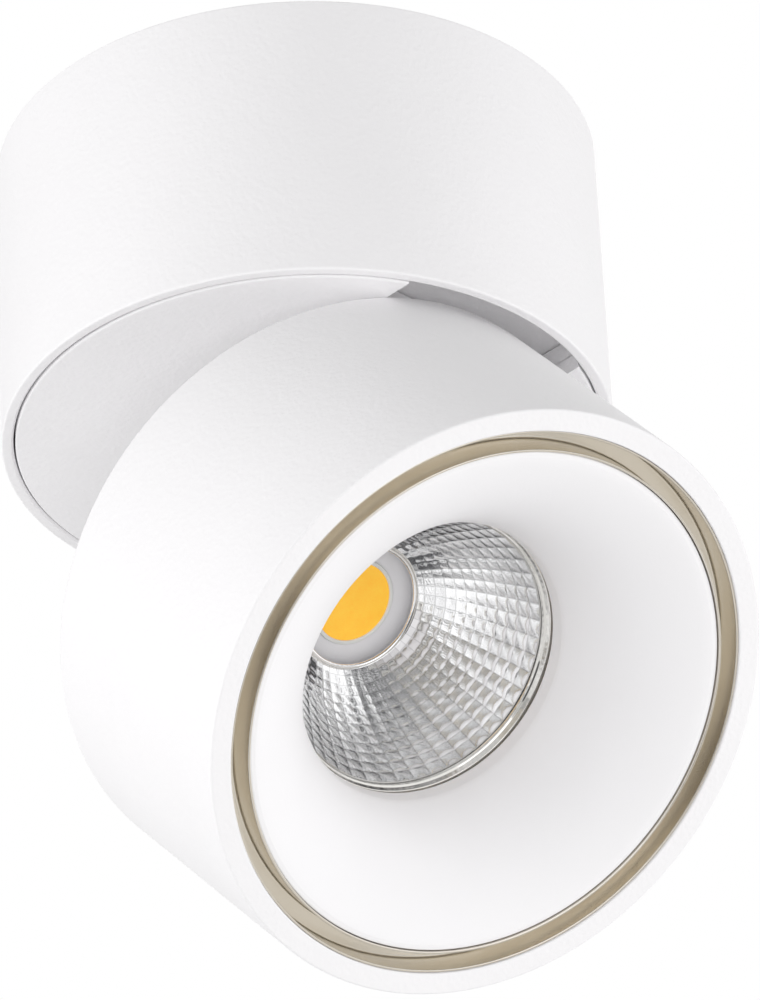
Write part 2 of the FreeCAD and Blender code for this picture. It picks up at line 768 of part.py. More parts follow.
def terminals():
    """Three-pole mains terminal: body, brass clamps, clamp screws and the two screws that fix it."""
    half, near, width = size("terminal_half_length"), size("terminal_near"), size("terminal_width")
    height, pitch, gap = size("terminal_height"), size("terminal_pitch"), size("screw_gap")
    floor = web_top + size("slide_gap")
    top = floor + height
    middle = -(near + width * 0.5)
    clamp = size("clamp_side") * 0.5
    clamp_floor = floor + size("clamp_rise")
    clamp_top = clamp_floor + clamp * 2
    poles = (-1, 0, 1)
    body = piece("terminal_block")
    shell = new_sketch(body, "XY_Plane", floor)
    box_outline(shell, -half, -(near + width), half, -near)
    padded(body, shell, height)
    for pole in poles:
        way = new_sketch(body, "XZ_Plane", near)
        reach = clamp + gap
        box_outline(way, pitch * pole - reach, clamp_floor - gap, pitch * pole + reach, clamp_top + gap)
        cut(body, way, width, reverse=True)
    wells = new_sketch(body, "XY_Plane", top)
    screw, offset = size("clamp_screw_radius"), size("clamp_screw_offset")
    for pole in poles:
        for side in (1, -1):
            round_outline(wells, pitch * pole, middle + offset * side, screw + size("clamp_screw_gap"))
    cut(body, wells, top - clamp_top)
    fixings = new_sketch(body, "XY_Plane", top)
    for side in (1, -1):
        round_outline(fixings, pitch * 0.5 * side, middle, size("block_screw_radius") + gap)
    cut(body, fixings, height)
    clamps = piece("terminal_clamps")
    for pole in poles:
        bar = new_sketch(clamps, "XZ_Plane", near + size("clamp_end"))
        box_outline(bar, pitch * pole - clamp, clamp_floor, pitch * pole + clamp, clamp_top)
        round_outline(bar, pitch * pole, clamp_floor + clamp, size("clamp_bore"))
        padded(clamps, bar, width - size("clamp_end") * 2)
    screws = piece("terminal_screws")
    for pole in poles:
        for side in (1, -1):
            stem = new_sketch(screws, "XY_Plane", clamp_top + size("press_gap"))
            round_outline(stem, pitch * pole, middle + offset * side, screw)
            padded(screws, stem, size("clamp_screw_length"))
    fixing = piece("terminal_fixing_screws")
    tip = web_top + size("foot_boss_rise") - size("boss_hole_depth") + gap
    for side in (1, -1):
        stem = new_sketch(fixing, "XY_Plane", tip)
        round_outline(stem, pitch * 0.5 * side, middle, size("block_screw_radius") - size("slide_gap"))
        padded(fixing, stem, web_top + height - tip)


# ---- swivel ----

def swivel_plate():
    """Flush disc: recess for the head's rear corner, slots for the hinge arms, seats of the screws."""
    body = piece("swivel_plate")
    radius, thickness = size("plate_radius"), size("plate_thickness")
    disc = new_sketch(body, "XY_Plane", canopy_bottom)
    round_outline(disc, 0, 0, radius)
    round_outline(disc, 0, 0, size("spigot_hole_radius"))
    padded(body, disc, thickness)
    recess = new_sketch(body, "XY_Plane", plate_top)
    half = size("recess_half_width")
    box_outline(recess, -half, -(radius + 2), half, -size("recess_inner"))
    cut(body, recess, thickness)
    walls = new_sketch(body, "XY_Plane", plate_top)
    outside = half + size("pocket_wall")
    back, back_outside = -size("recess_inner"), size("pocket_wall") - size("recess_inner")
    reach, reach_outside = -size("pocket_reach"), -size("pocket_reach_outer")
    outline(walls, [
        (-half, reach), (-outside, reach_outside), (-outside, back_outside), (outside, back_outside),
        (outside, reach_outside), (half, reach), (half, back), (-half, back),
    ])
    padded(body, walls, size("pocket_height"))
    gap = size("arm_slot_clearance")
    inner = size("arm_inner") - size("arm_side_gap")
    outer = size("arm_inner") + size("arm_thickness") + size("arm_side_gap")
    slots = new_sketch(body, "XY_Plane", plate_top)
    near, far = -(size("arm_leg_near") - gap), -(size("arm_leg_far") + gap)
    box_outline(slots, inner, far, outer, near)
    box_outline(slots, -outer, far, -inner, near)
    cut(body, slots, thickness)
    head, shank = size("small_screw_head"), size("small_screw_radius")
    play = size("screw_gap")
    seat = countersunk(shank + play, head + play, canopy_bottom - size("glue_line"), plate_top + play, 1)
    seats = piece_tool(body, seat, size("stud_screw_ring"))
    around(body, [seats], 3)
    for place in ("foot_screw_near", "foot_screw_far"):
        drill(body, size(place), shank + play, head + play)
    pin = new_sketch(body, "XY_Plane", plate_top)
    round_outline(pin, size("stop_place"), 0, size("stop_radius"))
    cut(body, pin, size("stop_depth"))


def swivel_stud():
    """Hollow stud: spigot in the disc, flange on it, shank up through the web."""
    body = piece("swivel_stud")
    bore, spigot, shank = size("stud_bore"), size("spigot_radius"), size("stud_radius")
    flange, chamfer, top = size("flange_radius"), size("stud_chamfer"), -size("stud_top")
    spigot_low = canopy_bottom + size("screw_gap")
    turned(body, [
        (bore, spigot_low), (spigot, spigot_low), (spigot, plate_top), (flange, plate_top),
        (flange, flange_top), (shank, flange_top), (shank, top - chamfer), (shank - chamfer, top), (bore, top),
    ])
    hole = new_sketch(body, "XY_Plane", flange_top)
    round_outline(hole, size("stud_screw_ring"), 0, size("small_screw_radius"))
    around(body, [cut(body, hole, size("flange_thickness"))], 3)
    screws = piece("stud_screws")
    face, tip = canopy_bottom + size("press_gap"), flange_top - size("screw_gap") * 2
    profile = countersunk(size("small_screw_radius"), size("small_screw_head"), face, tip, 1)
    around(screws, [turned(screws, profile, at=size("stud_screw_ring"))], 3)


def swivel_brake():
    """Thrust washer under the web, friction washer, coned spring and nut above it, and the stop pin."""
    gap, bore = size("slide_gap"), size("washer_bore")
    tube("thrust_washer", size("flange_radius"), bore, flange_top, web_under - flange_top - gap)
    tube("friction_washer", size("friction_radius"), bore, web_top, size("brake_washer_thickness"))
    spring_floor = web_top + size("brake_washer_thickness") + gap
    rise, steel, rim = size("spring_height"), size("spring_sheet"), size("spring_radius")
    spring = piece("wave_spring")
    turned(spring, [
        (rim, spring_floor), (rim, spring_floor + steel), (bore, spring_floor + rise),
        (bore, spring_floor + rise - steel),
    ])
    nut = piece("lock_nut")
    nut_floor = spring_floor + rise + gap
    flats = new_sketch(nut, "XY_Plane", nut_floor)
    hexagon(flats, 0, 0, size("nut_flats"))
    round_outline(flats, 0, 0, size("stud_radius") + size("press_gap"))
    padded(nut, flats, size("nut_height"))
    pin = piece("stop_pin")
    pin_low = plate_top - size("stop_depth")
    stem = new_sketch(pin, "XY_Plane", pin_low)
    round_outline(stem, size("stop_place"), 0, size("stop_radius"))
    padded(pin, stem, canopy_bottom + size("stop_top") - pin_low)


def hinge_bracket():
    """Gooseneck: a foot on the disc and two arms that drop through it and reach out to the pin."""
    body = piece("hinge_bracket")
    inner, steel = size("arm_inner"), size("arm_thickness")
    near, far, half = size("arm_leg_near"), size("arm_leg_far"), size("arm_half_height")
    foot = new_sketch(body, "XY_Plane", plate_top)
    outer = inner + steel
    box_outline(foot, -outer, -far, outer, -size("foot_near"))
    padded(body, foot, size("foot_thickness"))
    arm = new_sketch(body, "YZ_Plane", inner)
    outline(arm, [
        (-near, foot_top), (-far, foot_top), (-far, pin_z + half), (pin_y, pin_z + half),
        (pin_y, pin_z - half), (-near, pin_z - half),
    ])
    leg = padded(body, arm, steel)
    eye = new_sketch(body, "YZ_Plane", inner)
    round_outline(eye, pin_y, pin_z, size("eye_radius"))
    ring = padded(body, eye, steel)
    mirrored(body, [leg, ring])
    bore = new_sketch(body, "YZ_Plane", outer)
    round_outline(bore, pin_y, pin_z, size("eye_bore"))
    cut(body, bore, outer * 2)
    screws = piece("bracket_screws")
    radius, play = size("small_screw_radius"), size("screw_gap")
    low = canopy_bottom + play
    for place in ("foot_screw_near", "foot_screw_far"):
        thread = new_sketch(body, "XY_Plane", foot_top)
        round_outline(thread, 0, -size(place), radius + size("thread_gap"))
        cut(body, thread, size("foot_thickness"))
        stem = new_sketch(screws, "XY_Plane", low)
        round_outline(stem, 0, -size(place), radius)
        padded(screws, stem, foot_top - play - low)
        head = new_sketch(screws, "XY_Plane", low)
        round_outline(head, 0, -size(place), size("small_screw_head"))
        padded(screws, head, size("flat_head_height"))


# ---- head ----

def head_housing():
    """Round housing: thin wall at the rear, a ledge for the heat sink and a thick front rim."""
    body = piece("head_housing", tilted=True)
    radius, chamfer, rear = size("head_radius"), size("head_chamfer"), size("head_rear_chamfer")
    land = head_front + size("front_land")
    turned(body, [
        (size("head_rear_inner"), 0), (radius - rear, 0), (radius, -rear), (radius, head_front + chamfer),
        (radius - chamfer, head_front), (size("front_inner"), head_front), (size("front_inner"), land),
        (size("head_inner"), land), (size("head_inner"), sink_front), (size("head_rear_inner"), sink_front),
    ])


def rear_cover():
    """Disc in the rear of the head, with the slots for the arms and the two hinge lugs inside."""
    body = piece("rear_cover", tilted=True)
    thickness, shank, head = size("cover_thickness"), size("small_screw_radius"), size("small_screw_head")
    play, seat = size("screw_gap"), size("flat_seat_depth")
    disc = new_sketch(body, "XY_Plane", cover_inner)
    round_outline(disc, 0, 0, size("cover_radius"))
    round_outline(disc, 0, -size("lead_place"), size("lead_hole_radius"))
    padded(body, disc, thickness)
    inner, outer = size("lug_inner"), size("lug_inner") + size("lug_thickness")
    lug = new_sketch(body, "YZ_Plane", inner)
    box_outline(lug, -size("lug_far"), -size("lug_bottom"), -size("lug_near"), cover_inner)
    mirrored(body, [padded(body, lug, size("lug_thickness"))])
    slots = new_sketch(body, "XY_Plane", 0)
    low = size("arm_inner") - size("cover_side_gap")
    high = size("arm_inner") + size("arm_thickness") + size("cover_side_gap")
    box_outline(slots, low, -size("cover_slot_far"), high, -size("cover_slot_near"))
    box_outline(slots, -high, -size("cover_slot_far"), -low, -size("cover_slot_near"))
    cut(body, slots, thickness)
    bore = new_sketch(body, "YZ_Plane", outer)
    round_outline(bore, pin_y, pin_head_z, size("pin_radius"))
    cut(body, bore, outer * 2)
    for radius, depth in ((shank, thickness), (head, seat)):
        holes = new_sketch(body, "XY_Plane", 0)
        for x, y in cover_screw_places():
            round_outline(holes, x, y, radius + play)
        cut(body, holes, depth)
    screws = piece("rear_cover_screws", tilted=True)
    tip = sink_rear - size("screw_tip")
    for x, y in cover_screw_places():
        stem = new_sketch(screws, "XY_Plane", tip)
        round_outline(stem, x, y, shank)
        padded(screws, stem, -play - tip)
        cap = new_sketch(screws, "XY_Plane", -seat)
        round_outline(cap, x, y, head)
        padded(screws, cap, seat - play)
        socket = new_sketch(screws, "XY_Plane", -play)
        hexagon(socket, x, y, size("socket_flats"))
        cut(screws, socket, size("socket_depth"))
    grommet = piece("lead_grommet", tilted=True)
    ring = new_sketch(grommet, "XY_Plane", cover_inner)
    round_outline(ring, 0, -size("lead_place"), size("lead_hole_radius") - size("press_gap"))
    round_outline(ring, 0, -size("lead_place"), size("lead_bore"))
    padded(grommet, ring, thickness - size("slide_gap"))


def cover_screw_places():
    """Three places on a circle, one opposite the hinge."""
    ring = size("cover_screw_ring")
    return [(ring * math.cos(math.radians(a)), ring * math.sin(math.radians(a))) for a in (90, 210, 330)]


def hinge_fasteners():
    """Pin with a socket head, locking nut and two friction washers between arms and lugs."""
    outer, head_height = size("lug_inner") + size("lug_thickness"), size("pin_head_height")
    radius, gap = size("pin_radius"), size("press_gap")
    pin = piece("hinge_pin", tilted=True)
    shank = new_sketch(pin, "YZ_Plane", -outer)
    round_outline(shank, pin_y, pin_head_z, radius)
    padded(pin, shank, outer * 2 + head_height)
    head = new_sketch(pin, "YZ_Plane", -(outer + head_height))
    round_outline(head, pin_y, pin_head_z, size("pin_head_radius"))
    padded(pin, head, head_height)
    socket = new_sketch(pin, "YZ_Plane", -(outer + head_height))
    hexagon(socket, pin_y, pin_head_z, size("pin_socket_flats"))
    cut(pin, socket, size("pin_socket_depth"), reverse=True)
    nut = piece("hinge_nut", tilted=True)
    flats = new_sketch(nut, "YZ_Plane", outer + gap)
    hexagon(flats, pin_y, pin_head_z, size("pin_nut_flats"))
    round_outline(flats, pin_y, pin_head_z, radius + gap)
    padded(nut, flats, size("pin_nut_height"))
    washers = piece("hinge_washers", tilted=True)
    inner, far = size("arm_inner") + size("arm_thickness") + size("slide_gap"), size("lug_inner") - gap
    for low in (inner, -far):
        ring = new_sketch(washers, "YZ_Plane", low)
        round_outline(ring, pin_y, pin_head_z, size("hinge_washer_radius"))
        round_outline(ring, pin_y, pin_head_z, size("hinge_washer_bore"))
        padded(washers, ring, far - inner)


def heat_sink():
    """Plate on the housing's ledge, fins towards the front, bosses to the rear and a notch for the hinge."""
    body = piece("heat_sink", tilted=True)
    plate = new_sketch(body, "XY_Plane", sink_front)
    round_outline(plate, 0, 0, size("sink_radius"))
    padded(body, plate, size("sink_thickness"))
    fin = new_sketch(body, "XY_Plane", sink_front - size("fin_length"))
    half = size("fin_thickness") * 0.5
    box_outline(fin, size("fin_inner"), -half, size("fin_outer"), half)
    around(body, [padded(body, fin, size("fin_length") + 0.5)], size("fin_count"))
    bosses = new_sketch(body, "XY_Plane", sink_rear)
    for x, y in cover_screw_places():
        round_outline(bosses, x, y, size("sink_boss_radius"))
    padded(body, bosses, cover_inner - sink_rear)
    seat_back = new_sketch(body, "XY_Plane", sink_rear)
    round_outline(seat_back, 0, 0, size("dish_boss_radius"))
    padded(body, seat_back, size("dish_boss_rise"))
    seat = new_sketch(body, "XY_Plane", dish_floor)
    round_outline(seat, 0, 0, size("dish_radius"))
    cut(body, seat, size("dish_depth") + 1)
    threads = new_sketch(body, "XY_Plane", cover_inner)
    for x, y in cover_screw_places():
        round_outline(threads, x, y, size("small_screw_radius") + size("thread_gap"))
    cut(body, threads, cover_inner - sink_rear + size("sink_thread"))
    notch = new_sketch(body, "XY_Plane", sink_rear)
    width = size("notch_half_width")
    box_outline(notch, -width, -(size("sink_radius") + 2), width, -size("notch_near"))
    cut(body, notch, size("sink_thickness") + size("fin_length"))
    through = new_sketch(body, "XY_Plane", sink_rear)
    round_outline(through, size("post_ring"), 0, size("small_screw_radius") + size("screw_gap"))
    around(body, [cut(body, through, size("sink_thickness"))], 3)


def lamp():
    """Thermal pad, round board, silicone dam, light-emitting disc and the holder with its screws."""
    face = dish_floor - size("glue_line")
    pad = piece("thermal_pad", tilted=True)
    sheet_pad = new_sketch(pad, "XY_Plane", face - size("pad_thickness"))
    round_outline(sheet_pad, 0, 0, size("board_radius"))
    padded(pad, sheet_pad, size("pad_thickness"))
    board_face = face - size("pad_thickness") - size("cob_thickness")
    board = piece("cob_board", tilted=True)
    disc = new_sketch(board, "XY_Plane", board_face)
    round_outline(disc, 0, 0, size("board_radius"))
    padded(board, disc, size("cob_thickness"))
    dam = piece("led_dam", tilted=True)
    ring = new_sketch(dam, "XY_Plane", board_face - size("dam_height"))
    round_outline(ring, 0, 0, size("dam_outer"))
    round_outline(ring, 0, 0, size("light_radius"))
    padded(dam, ring, size("dam_height"))
    light = piece("phosphor_disc", tilted=True)
    spot = new_sketch(light, "XY_Plane", board_face - size("light_height"))
    round_outline(spot, 0, 0, size("light_radius") - size("glue_line"))
    padded(light, spot, size("light_height"))
    holder = piece("cob_holder", tilted=True)
    holder_face = sink_front - size("glue_line") - size("holder_height")
    frame = new_sketch(holder, "XY_Plane", holder_face)
    round_outline(frame, 0, 0, size("holder_radius"))
    round_outline(frame, 0, 0, size("holder_bore"))
    screw_x, screw = size("holder_screw_ring"), size("small_screw_radius")
    for side in (1, -1):
        round_outline(frame, screw_x * side, 0, screw + size("screw_gap"))
    padded(holder, frame, size("holder_height"))
    screws = piece("holder_screws", tilted=True)
    for side in (1, -1):
        stem = new_sketch(screws, "XY_Plane", holder_face - size("slide_gap"))
        round_outline(stem, screw_x * side, 0, screw)
        padded(screws, stem, size("holder_height"))
        cap = new_sketch(screws, "XY_Plane", holder_face - size("head_height"))
        round_outline(cap, screw_x * side, 0, size("small_screw_head"))
        padded(screws, cap, size("head_height") - size("slide_gap"))


def reflector():
    """Bowl of flat rings on a parabola: the square of the radius grows evenly with the depth."""
    body = piece("reflector", tilted=True)
    throat, mouth, growth = size("throat_radius"), size("mouth_radius"), size("ring_growth")
    depth0, depth1, wall = size("throat_depth"), size("mouth_depth"), size("reflector_wall")
    count = int(size("facet_rings").value)
    inner = []
    for i in range(count + 1):
        share = i / count
        deep = share * (1 - growth.value) + growth.value * share ** 2
        squared = throat.value ** 2 + (mouth.value ** 2 - throat.value ** 2) * deep
        swell = (math.sqrt(squared) - throat.value) / (mouth.value - throat.value)
        inner.append((throat + (mouth - throat) * swell, -(depth0 + (depth1 - depth0) * deep)))
    mouth_z = inner[-1][1]
    flange = [(size("flange_edge"), mouth_z), (size("flange_edge"), mouth_z + wall)]
    outer = [(r + wall, z) for r, z in reversed(inner[:-1])]
    turned(body, inner + flange + outer)


def reflector_ring():
    """Polished collar: holds the bowl's flange from outside, with a bead inside at the bowl's mouth."""
    body = piece("reflector_ring", tilted=True)
    radius, bore = size("collar_radius"), size("collar_bore")
    lip, flange = size("collar_lip"), size("flange_edge")
    gap, bead, shadow = size("slide_gap"), size("collar_bead"), size("collar_shadow")
    under, low = -(size("mouth_depth") + gap), -(size("neck_depth") - gap)
    top, pocket = under + size("collar_rise"), flange + size("screw_gap")
    turned(body, [
        (radius, low), (radius, top), (pocket, top), (pocket, under), (lip + bead * 0.2, under),
        (lip, under - bead * 0.5), (lip + bead * 0.2, under - bead), (bore, under - bead * 1.25),
        (bore, low + shadow), (flange, low + shadow), (flange, low),
    ])


def glare_cone():
    """White funnel from the front lip to a short neck below the collar, with three posts to the heat sink."""
    body = piece("glare_cone", tilted=True)
    neck, neck_z = size("neck_radius"), -size("neck_depth")
    edge, edge_z = size("cone_edge_radius"), -size("cone_edge_depth")
    front, front_z, wall = size("cone_front_radius"), -size("cone_front_depth"), size("cone_wall")
    land, skirt, skirt_top = front - size("cone_land"), front - size("skirt_wall"), -size("skirt_top")
    bend = size("cone_bend")
    turned(body, [
        (neck, neck_z), (edge, edge_z), (land, front_z), (front, front_z + size("cone_lip_step")),
        (front, skirt_top), (skirt, skirt_top), (skirt, front_z + size("skirt_foot")),
        (neck + size("neck_wall"), neck_z),
    ], bends={1: bend, 6: wall - bend})
    post_low = -(size("cone_edge_depth") + size("post_sink"))
    post_top = sink_front - size("slide_gap")
    post = new_sketch(body, "XY_Plane", post_low)
    round_outline(post, size("post_ring"), 0, size("post_radius"))
    posts = padded(body, post, post_top - post_low)
    bore = new_sketch(body, "XY_Plane", post_top)
    round_outline(bore, size("post_ring"), 0, size("small_screw_radius"))
    around(body, [posts, cut(body, bore, size("post_thread"))], 3)
    screws = piece("baffle_screws", tilted=True)
    reach = size("post_screw_length")
    stem = new_sketch(screws, "XY_Plane", sink_front - reach)
    round_outline(stem, size("post_ring"), 0, size("small_screw_radius") - size("thread_gap"))
    shank = padded(screws, stem, size("sink_thickness") + reach)
    cap = new_sketch(screws, "XY_Plane", sink_rear)
    round_outline(cap, size("post_ring"), 0, size("small_screw_head"))
    around(screws, [shank, padded(screws, cap, size("head_height"))], 3)


def trim_ring():
    """Polished channel in the groove between the baffle and the front rim."""
    body = piece("trim_ring", tilted=True)
    bore, radius, wall = size("trim_bore"), size("trim_radius"), size("trim_wall")
    front, floor = -size("trim_front"), -size("trim_floor")
    turned(body, [
        (bore, front), (bore + wall, front), (bore + wall, floor - wall), (radius - wall, floor - wall),
        (radius - wall, front), (radius, front), (radius, floor), (bore, floor),
    ])


for make in (base_housing, ceiling_bracket, cable_grommet, earth_connection, locking_screw, driver, terminals,
             swivel_plate, swivel_stud, swivel_brake, hinge_bracket, head_housing, rear_cover, hinge_fasteners,
             heat_sink, lamp, reflector, reflector_ring, glare_cone, trim_ring):
    make()

doc.recompute()
for item in doc.Objects:
    assert not {"Invalid", "Error"} & set(item.State), f"{item.Label} failed: {item.State}"
for part in PARTS:
    assert not part.Shape.isNull() and part.Shape.isValid(), f"{part.Label} has no valid shape"
os.makedirs("parts", exist_ok=True)
for part in PARTS:
    part.Shape.exportStep(f"parts/{part.Label}.step")
    print(part.Label, len(part.Shape.Solids), "solids", round(part.Shape.Volume, 1), "mm3")
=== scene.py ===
import bpy
import json
import math
import numpy as np
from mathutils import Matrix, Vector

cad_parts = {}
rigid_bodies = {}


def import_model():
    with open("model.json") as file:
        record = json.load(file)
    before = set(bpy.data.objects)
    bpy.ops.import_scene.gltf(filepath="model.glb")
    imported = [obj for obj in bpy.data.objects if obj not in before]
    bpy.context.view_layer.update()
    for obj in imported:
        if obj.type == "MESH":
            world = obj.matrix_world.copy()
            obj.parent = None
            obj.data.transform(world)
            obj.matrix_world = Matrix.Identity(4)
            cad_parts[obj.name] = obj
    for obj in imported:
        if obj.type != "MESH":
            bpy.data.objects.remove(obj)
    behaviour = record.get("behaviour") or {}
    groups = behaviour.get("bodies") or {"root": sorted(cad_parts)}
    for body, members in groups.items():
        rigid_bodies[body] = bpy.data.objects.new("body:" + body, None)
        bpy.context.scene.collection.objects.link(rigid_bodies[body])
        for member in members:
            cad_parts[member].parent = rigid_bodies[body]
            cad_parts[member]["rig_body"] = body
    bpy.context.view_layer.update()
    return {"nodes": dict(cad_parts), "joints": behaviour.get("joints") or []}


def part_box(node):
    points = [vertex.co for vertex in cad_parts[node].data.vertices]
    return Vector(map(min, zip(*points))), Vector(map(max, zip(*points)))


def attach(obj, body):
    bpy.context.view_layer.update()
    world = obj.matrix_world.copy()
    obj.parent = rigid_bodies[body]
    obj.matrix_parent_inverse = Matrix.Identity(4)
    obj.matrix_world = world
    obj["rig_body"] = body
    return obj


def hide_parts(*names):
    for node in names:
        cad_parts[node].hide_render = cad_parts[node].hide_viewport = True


# Lengths are in millimetres until a mesh is made, angles in degrees.
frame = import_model()
nodes = frame["nodes"]
unit = 0.001                                              # a millimetre, in metres
print("frame loaded:", len(nodes), "solids")


# Places taken from the frame

def jointNamed(name):
    return [joint for joint in frame["joints"] if joint["name"] == name][0]


tiltJoint = jointNamed("head_tilt")
pin = np.array(tiltJoint["pos_m"]) / unit
foldAngle = math.radians(tiltJoint["range_deg"][0])       # from the rest pose back to closed
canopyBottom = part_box("base_housing")[0].z / unit
headGap = 1.2                                             # between disc and head, closed


def hangHead(points):
    # From the head's own frame, rear face at z = 0 and front downwards, to its place at rest:
    # dropped under the canopy, then turned about the pin by the rest angle.
    moved = points + np.array([0, 0, canopyBottom - headGap]) - pin
    c, s = math.cos(foldAngle), math.sin(foldAngle)
    turned = np.stack([moved[..., 0], moved[..., 1] * c - moved[..., 2] * s,
                       moved[..., 1] * s + moved[..., 2] * c], -1)
    return turned + pin


# Ways of making a mesh

# The most of a side that an arc takes, the gap beside it, and the angles past which an edge shades sharp.
softening = {"sideShare": 0.45, "margin": 0.3, "sharp": 35, "sharpAfterCut": 30}


def softCorners(corners, steps=5):
    # Profile through corners (x, y, radius): each corner becomes an arc tangent to its two sides, with one
    # more point on each side next to the arc, so that the flat beside it shades flat.
    corners = np.array(corners, float)
    places, radii = corners[:, :2], corners[:, 2]
    back = np.roll(places, 1, 0) - places
    ahead = np.roll(places, -1, 0) - places
    backLength = np.linalg.norm(back, axis=1)
    aheadLength = np.linalg.norm(ahead, axis=1)
    back /= backLength[:, None]
    ahead /= aheadLength[:, None]
    out = []
    for i in range(len(places)):
        if radii[i] == 0:
            out.append(places[i:i + 1])
            continue
        half = math.acos(np.clip(back[i] @ ahead[i], -1, 1)) / 2
        reach = min(radii[i] / math.tan(half), softening["sideShare"] * min(backLength[i], aheadLength[i]))
        radius = reach * math.tan(half)
        bisector = back[i] + ahead[i]
        centre = places[i] + bisector / np.linalg.norm(bisector) * (radius / math.sin(half))
        start, end = places[i] + back[i] * reach, places[i] + ahead[i] * reach
        a = start - centre
        turn = math.pi - 2 * half
        side = np.sign(a[0] * (end - centre)[1] - a[1] * (end - centre)[0])
        angles = np.linspace(0, turn, steps + 1) * side
        arc = np.stack([a[0] * np.cos(angles) - a[1] * np.sin(angles),
                        a[0] * np.sin(angles) + a[1] * np.cos(angles)], -1) + centre
        margin = min(radius, reach) * softening["margin"]
        out.append(np.vstack([start + back[i] * margin, arc, end + ahead[i] * margin]))
    return np.vstack(out)


def shadeSmooth(mesh, sharp=softening["sharp"]):
    # Smooth shading, broken at edges that turn by more than the sharp angle.
    mesh.shade_smooth()
    mesh.set_sharp_from_angle(angle=math.radians(sharp))


def meshObject(name, points, faces, sharp=softening["sharp"]):
    # One mesh from points in millimetres and faces that list their corners.
    mesh = bpy.data.meshes.new(name)
    mesh.from_pydata((points * unit).tolist(), [], faces.tolist() if hasattr(faces, "tolist") else faces)
    mesh.validate()
    shadeSmooth(mesh, sharp)
    item = bpy.data.objects.new(name, mesh)
    bpy.context.scene.collection.objects.link(item)
    return item


def gridFaces(rows, columns, closeRows, closeColumns):
    # Quads of a grid whose points are stored row by row.
    i = np.arange(rows if closeRows else rows - 1)
    j = np.arange(columns if closeColumns else columns - 1)
    i, j = np.meshgrid(i, j, indexing="ij")
    i2, j2 = (i + 1) % rows, (j + 1) % columns
    corners = [i * columns + j, i * columns + j2, i2 * columns + j2, i2 * columns + j]
    return np.stack(corners, -1).reshape(-1, 4)


def turnedSolid(name, profile, segments, move=None):
    # Closed profile (radius, height), carried once round the vertical axis. The profile runs with the solid
    # on its left, so that the faces point out of it.
    x, z = profile[:, 0], profile[:, 1]
    area = np.sum(x * np.roll(z, -1) - np.roll(x, -1) * z) / 2
    if area < 0:
        profile = profile[::-1]
    angle = np.linspace(0, 2 * math.pi, segments, endpoint=False)
    points = np.stack([
        np.outer(np.cos(angle), profile[:, 0]), np.outer(np.sin(angle), profile[:, 0]),
        np.outer(np.ones(segments), profile[:, 1]),
    ], -1).reshape(-1, 3)
    faces = gridFaces(segments, len(profile), True, True)
    if move:
        points = move(points)
    return meshObject(name, points, faces)


def prism(name, outline, low, high, alongX=False):
    # Straight prism over a closed outline of (x, y), or of (y, z) for one that lies along X.
    count = len(outline)
    points = np.vstack([np.column_stack([outline, np.full(count, low)]),
                        np.column_stack([outline, np.full(count, high)])])
    if alongX:
        points = points[:, [2, 0, 1]]
    i = np.arange(count)
    walls = np.stack([i, (i + 1) % count, (i + 1) % count + count, i + count], -1).tolist()
    return meshObject(name, points, walls + [i[::-1].tolist(), (i + count).tolist()])


def circle(x, y, radius, count):
    # Points at equal angles round (x, y).
    angle = np.linspace(0, 2 * math.pi, count, endpoint=False)
    return np.column_stack([x + radius * np.cos(angle), y + radius * np.sin(angle)])


def rectangle(x0, y0, x1, y1, radius):
    # Four corners, each rounded by the radius.
    return softCorners([(x0, y0, radius), (x1, y0, radius), (x1, y1, radius), (x0, y1, radius)])


def finished(item):
    # Applies the modifiers, so that the piece is one plain mesh.
    depsgraph = bpy.context.evaluated_depsgraph_get()
    mesh = bpy.data.meshes.new_from_object(item.evaluated_get(depsgraph))
    old = item.data
    item.modifiers.clear()
    item.data = mesh
    bpy.data.meshes.remove(old)
    return item


def cutAway(item, cutters):
    # Takes the cutters out of the piece one after the other.
    for cutter in cutters:
        change = item.modifiers.new("cut", "BOOLEAN")
        change.operation = "DIFFERENCE"
        change.solver = "EXACT"
        change.object = cutter
    finished(item)
    for cutter in cutters:
        bpy.data.meshes.remove(cutter.data)
    shadeSmooth(item.data, softening["sharpAfterCut"])
    return item


# The weld in metres. Faces that meet flatter than flatAngle are joined, edges past edgeAngle are rounded.
copying = {"weld": 2e-6, "flatAngle": 0.5, "edgeAngle": 38, "segments": 2}


def softCopy(node, width):
    # A copy of a solid with its loose triangles joined and its edges rounded.
    mesh = nodes[node].data.copy()
    item = bpy.data.objects.new(node + "Soft", mesh)
    bpy.context.scene.collection.objects.link(item)
    weld = item.modifiers.new("weld", "WELD")
    weld.merge_threshold = copying["weld"]
    flat = item.modifiers.new("flat", "DECIMATE")
    flat.decimate_type = "DISSOLVE"
    flat.angle_limit = math.radians(copying["flatAngle"])
    round_ = item.modifiers.new("round", "BEVEL")
    round_.width = width * unit
    round_.segments = copying["segments"]
    round_.limit_method = "ANGLE"
    round_.angle_limit = math.radians(copying["edgeAngle"])
    round_.use_clamp_overlap = True
    round_.harden_normals = False
    finished(item)
    shadeSmooth(item.data)
    return item


def place(item, body, material, slot, *replaced):
    # Gives a piece its finish and the body it moves with, and hides the solids it stands for. The slot is not
    # used.
    item.data.materials.clear()
    item.data.materials.append(material)
    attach(item, body)
    if replaced:
        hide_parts(*replaced)
    return item


# Ways of making a material

def feed(tree, socket, value):
    # Links a wire to a socket, or sets the socket. A colour is given as three numbers.
    if isinstance(value, Wire):
        tree.links.new(value.socket, socket)
    elif value is not None:
        socket.default_value = (*value, 1) if isinstance(value, tuple) else value


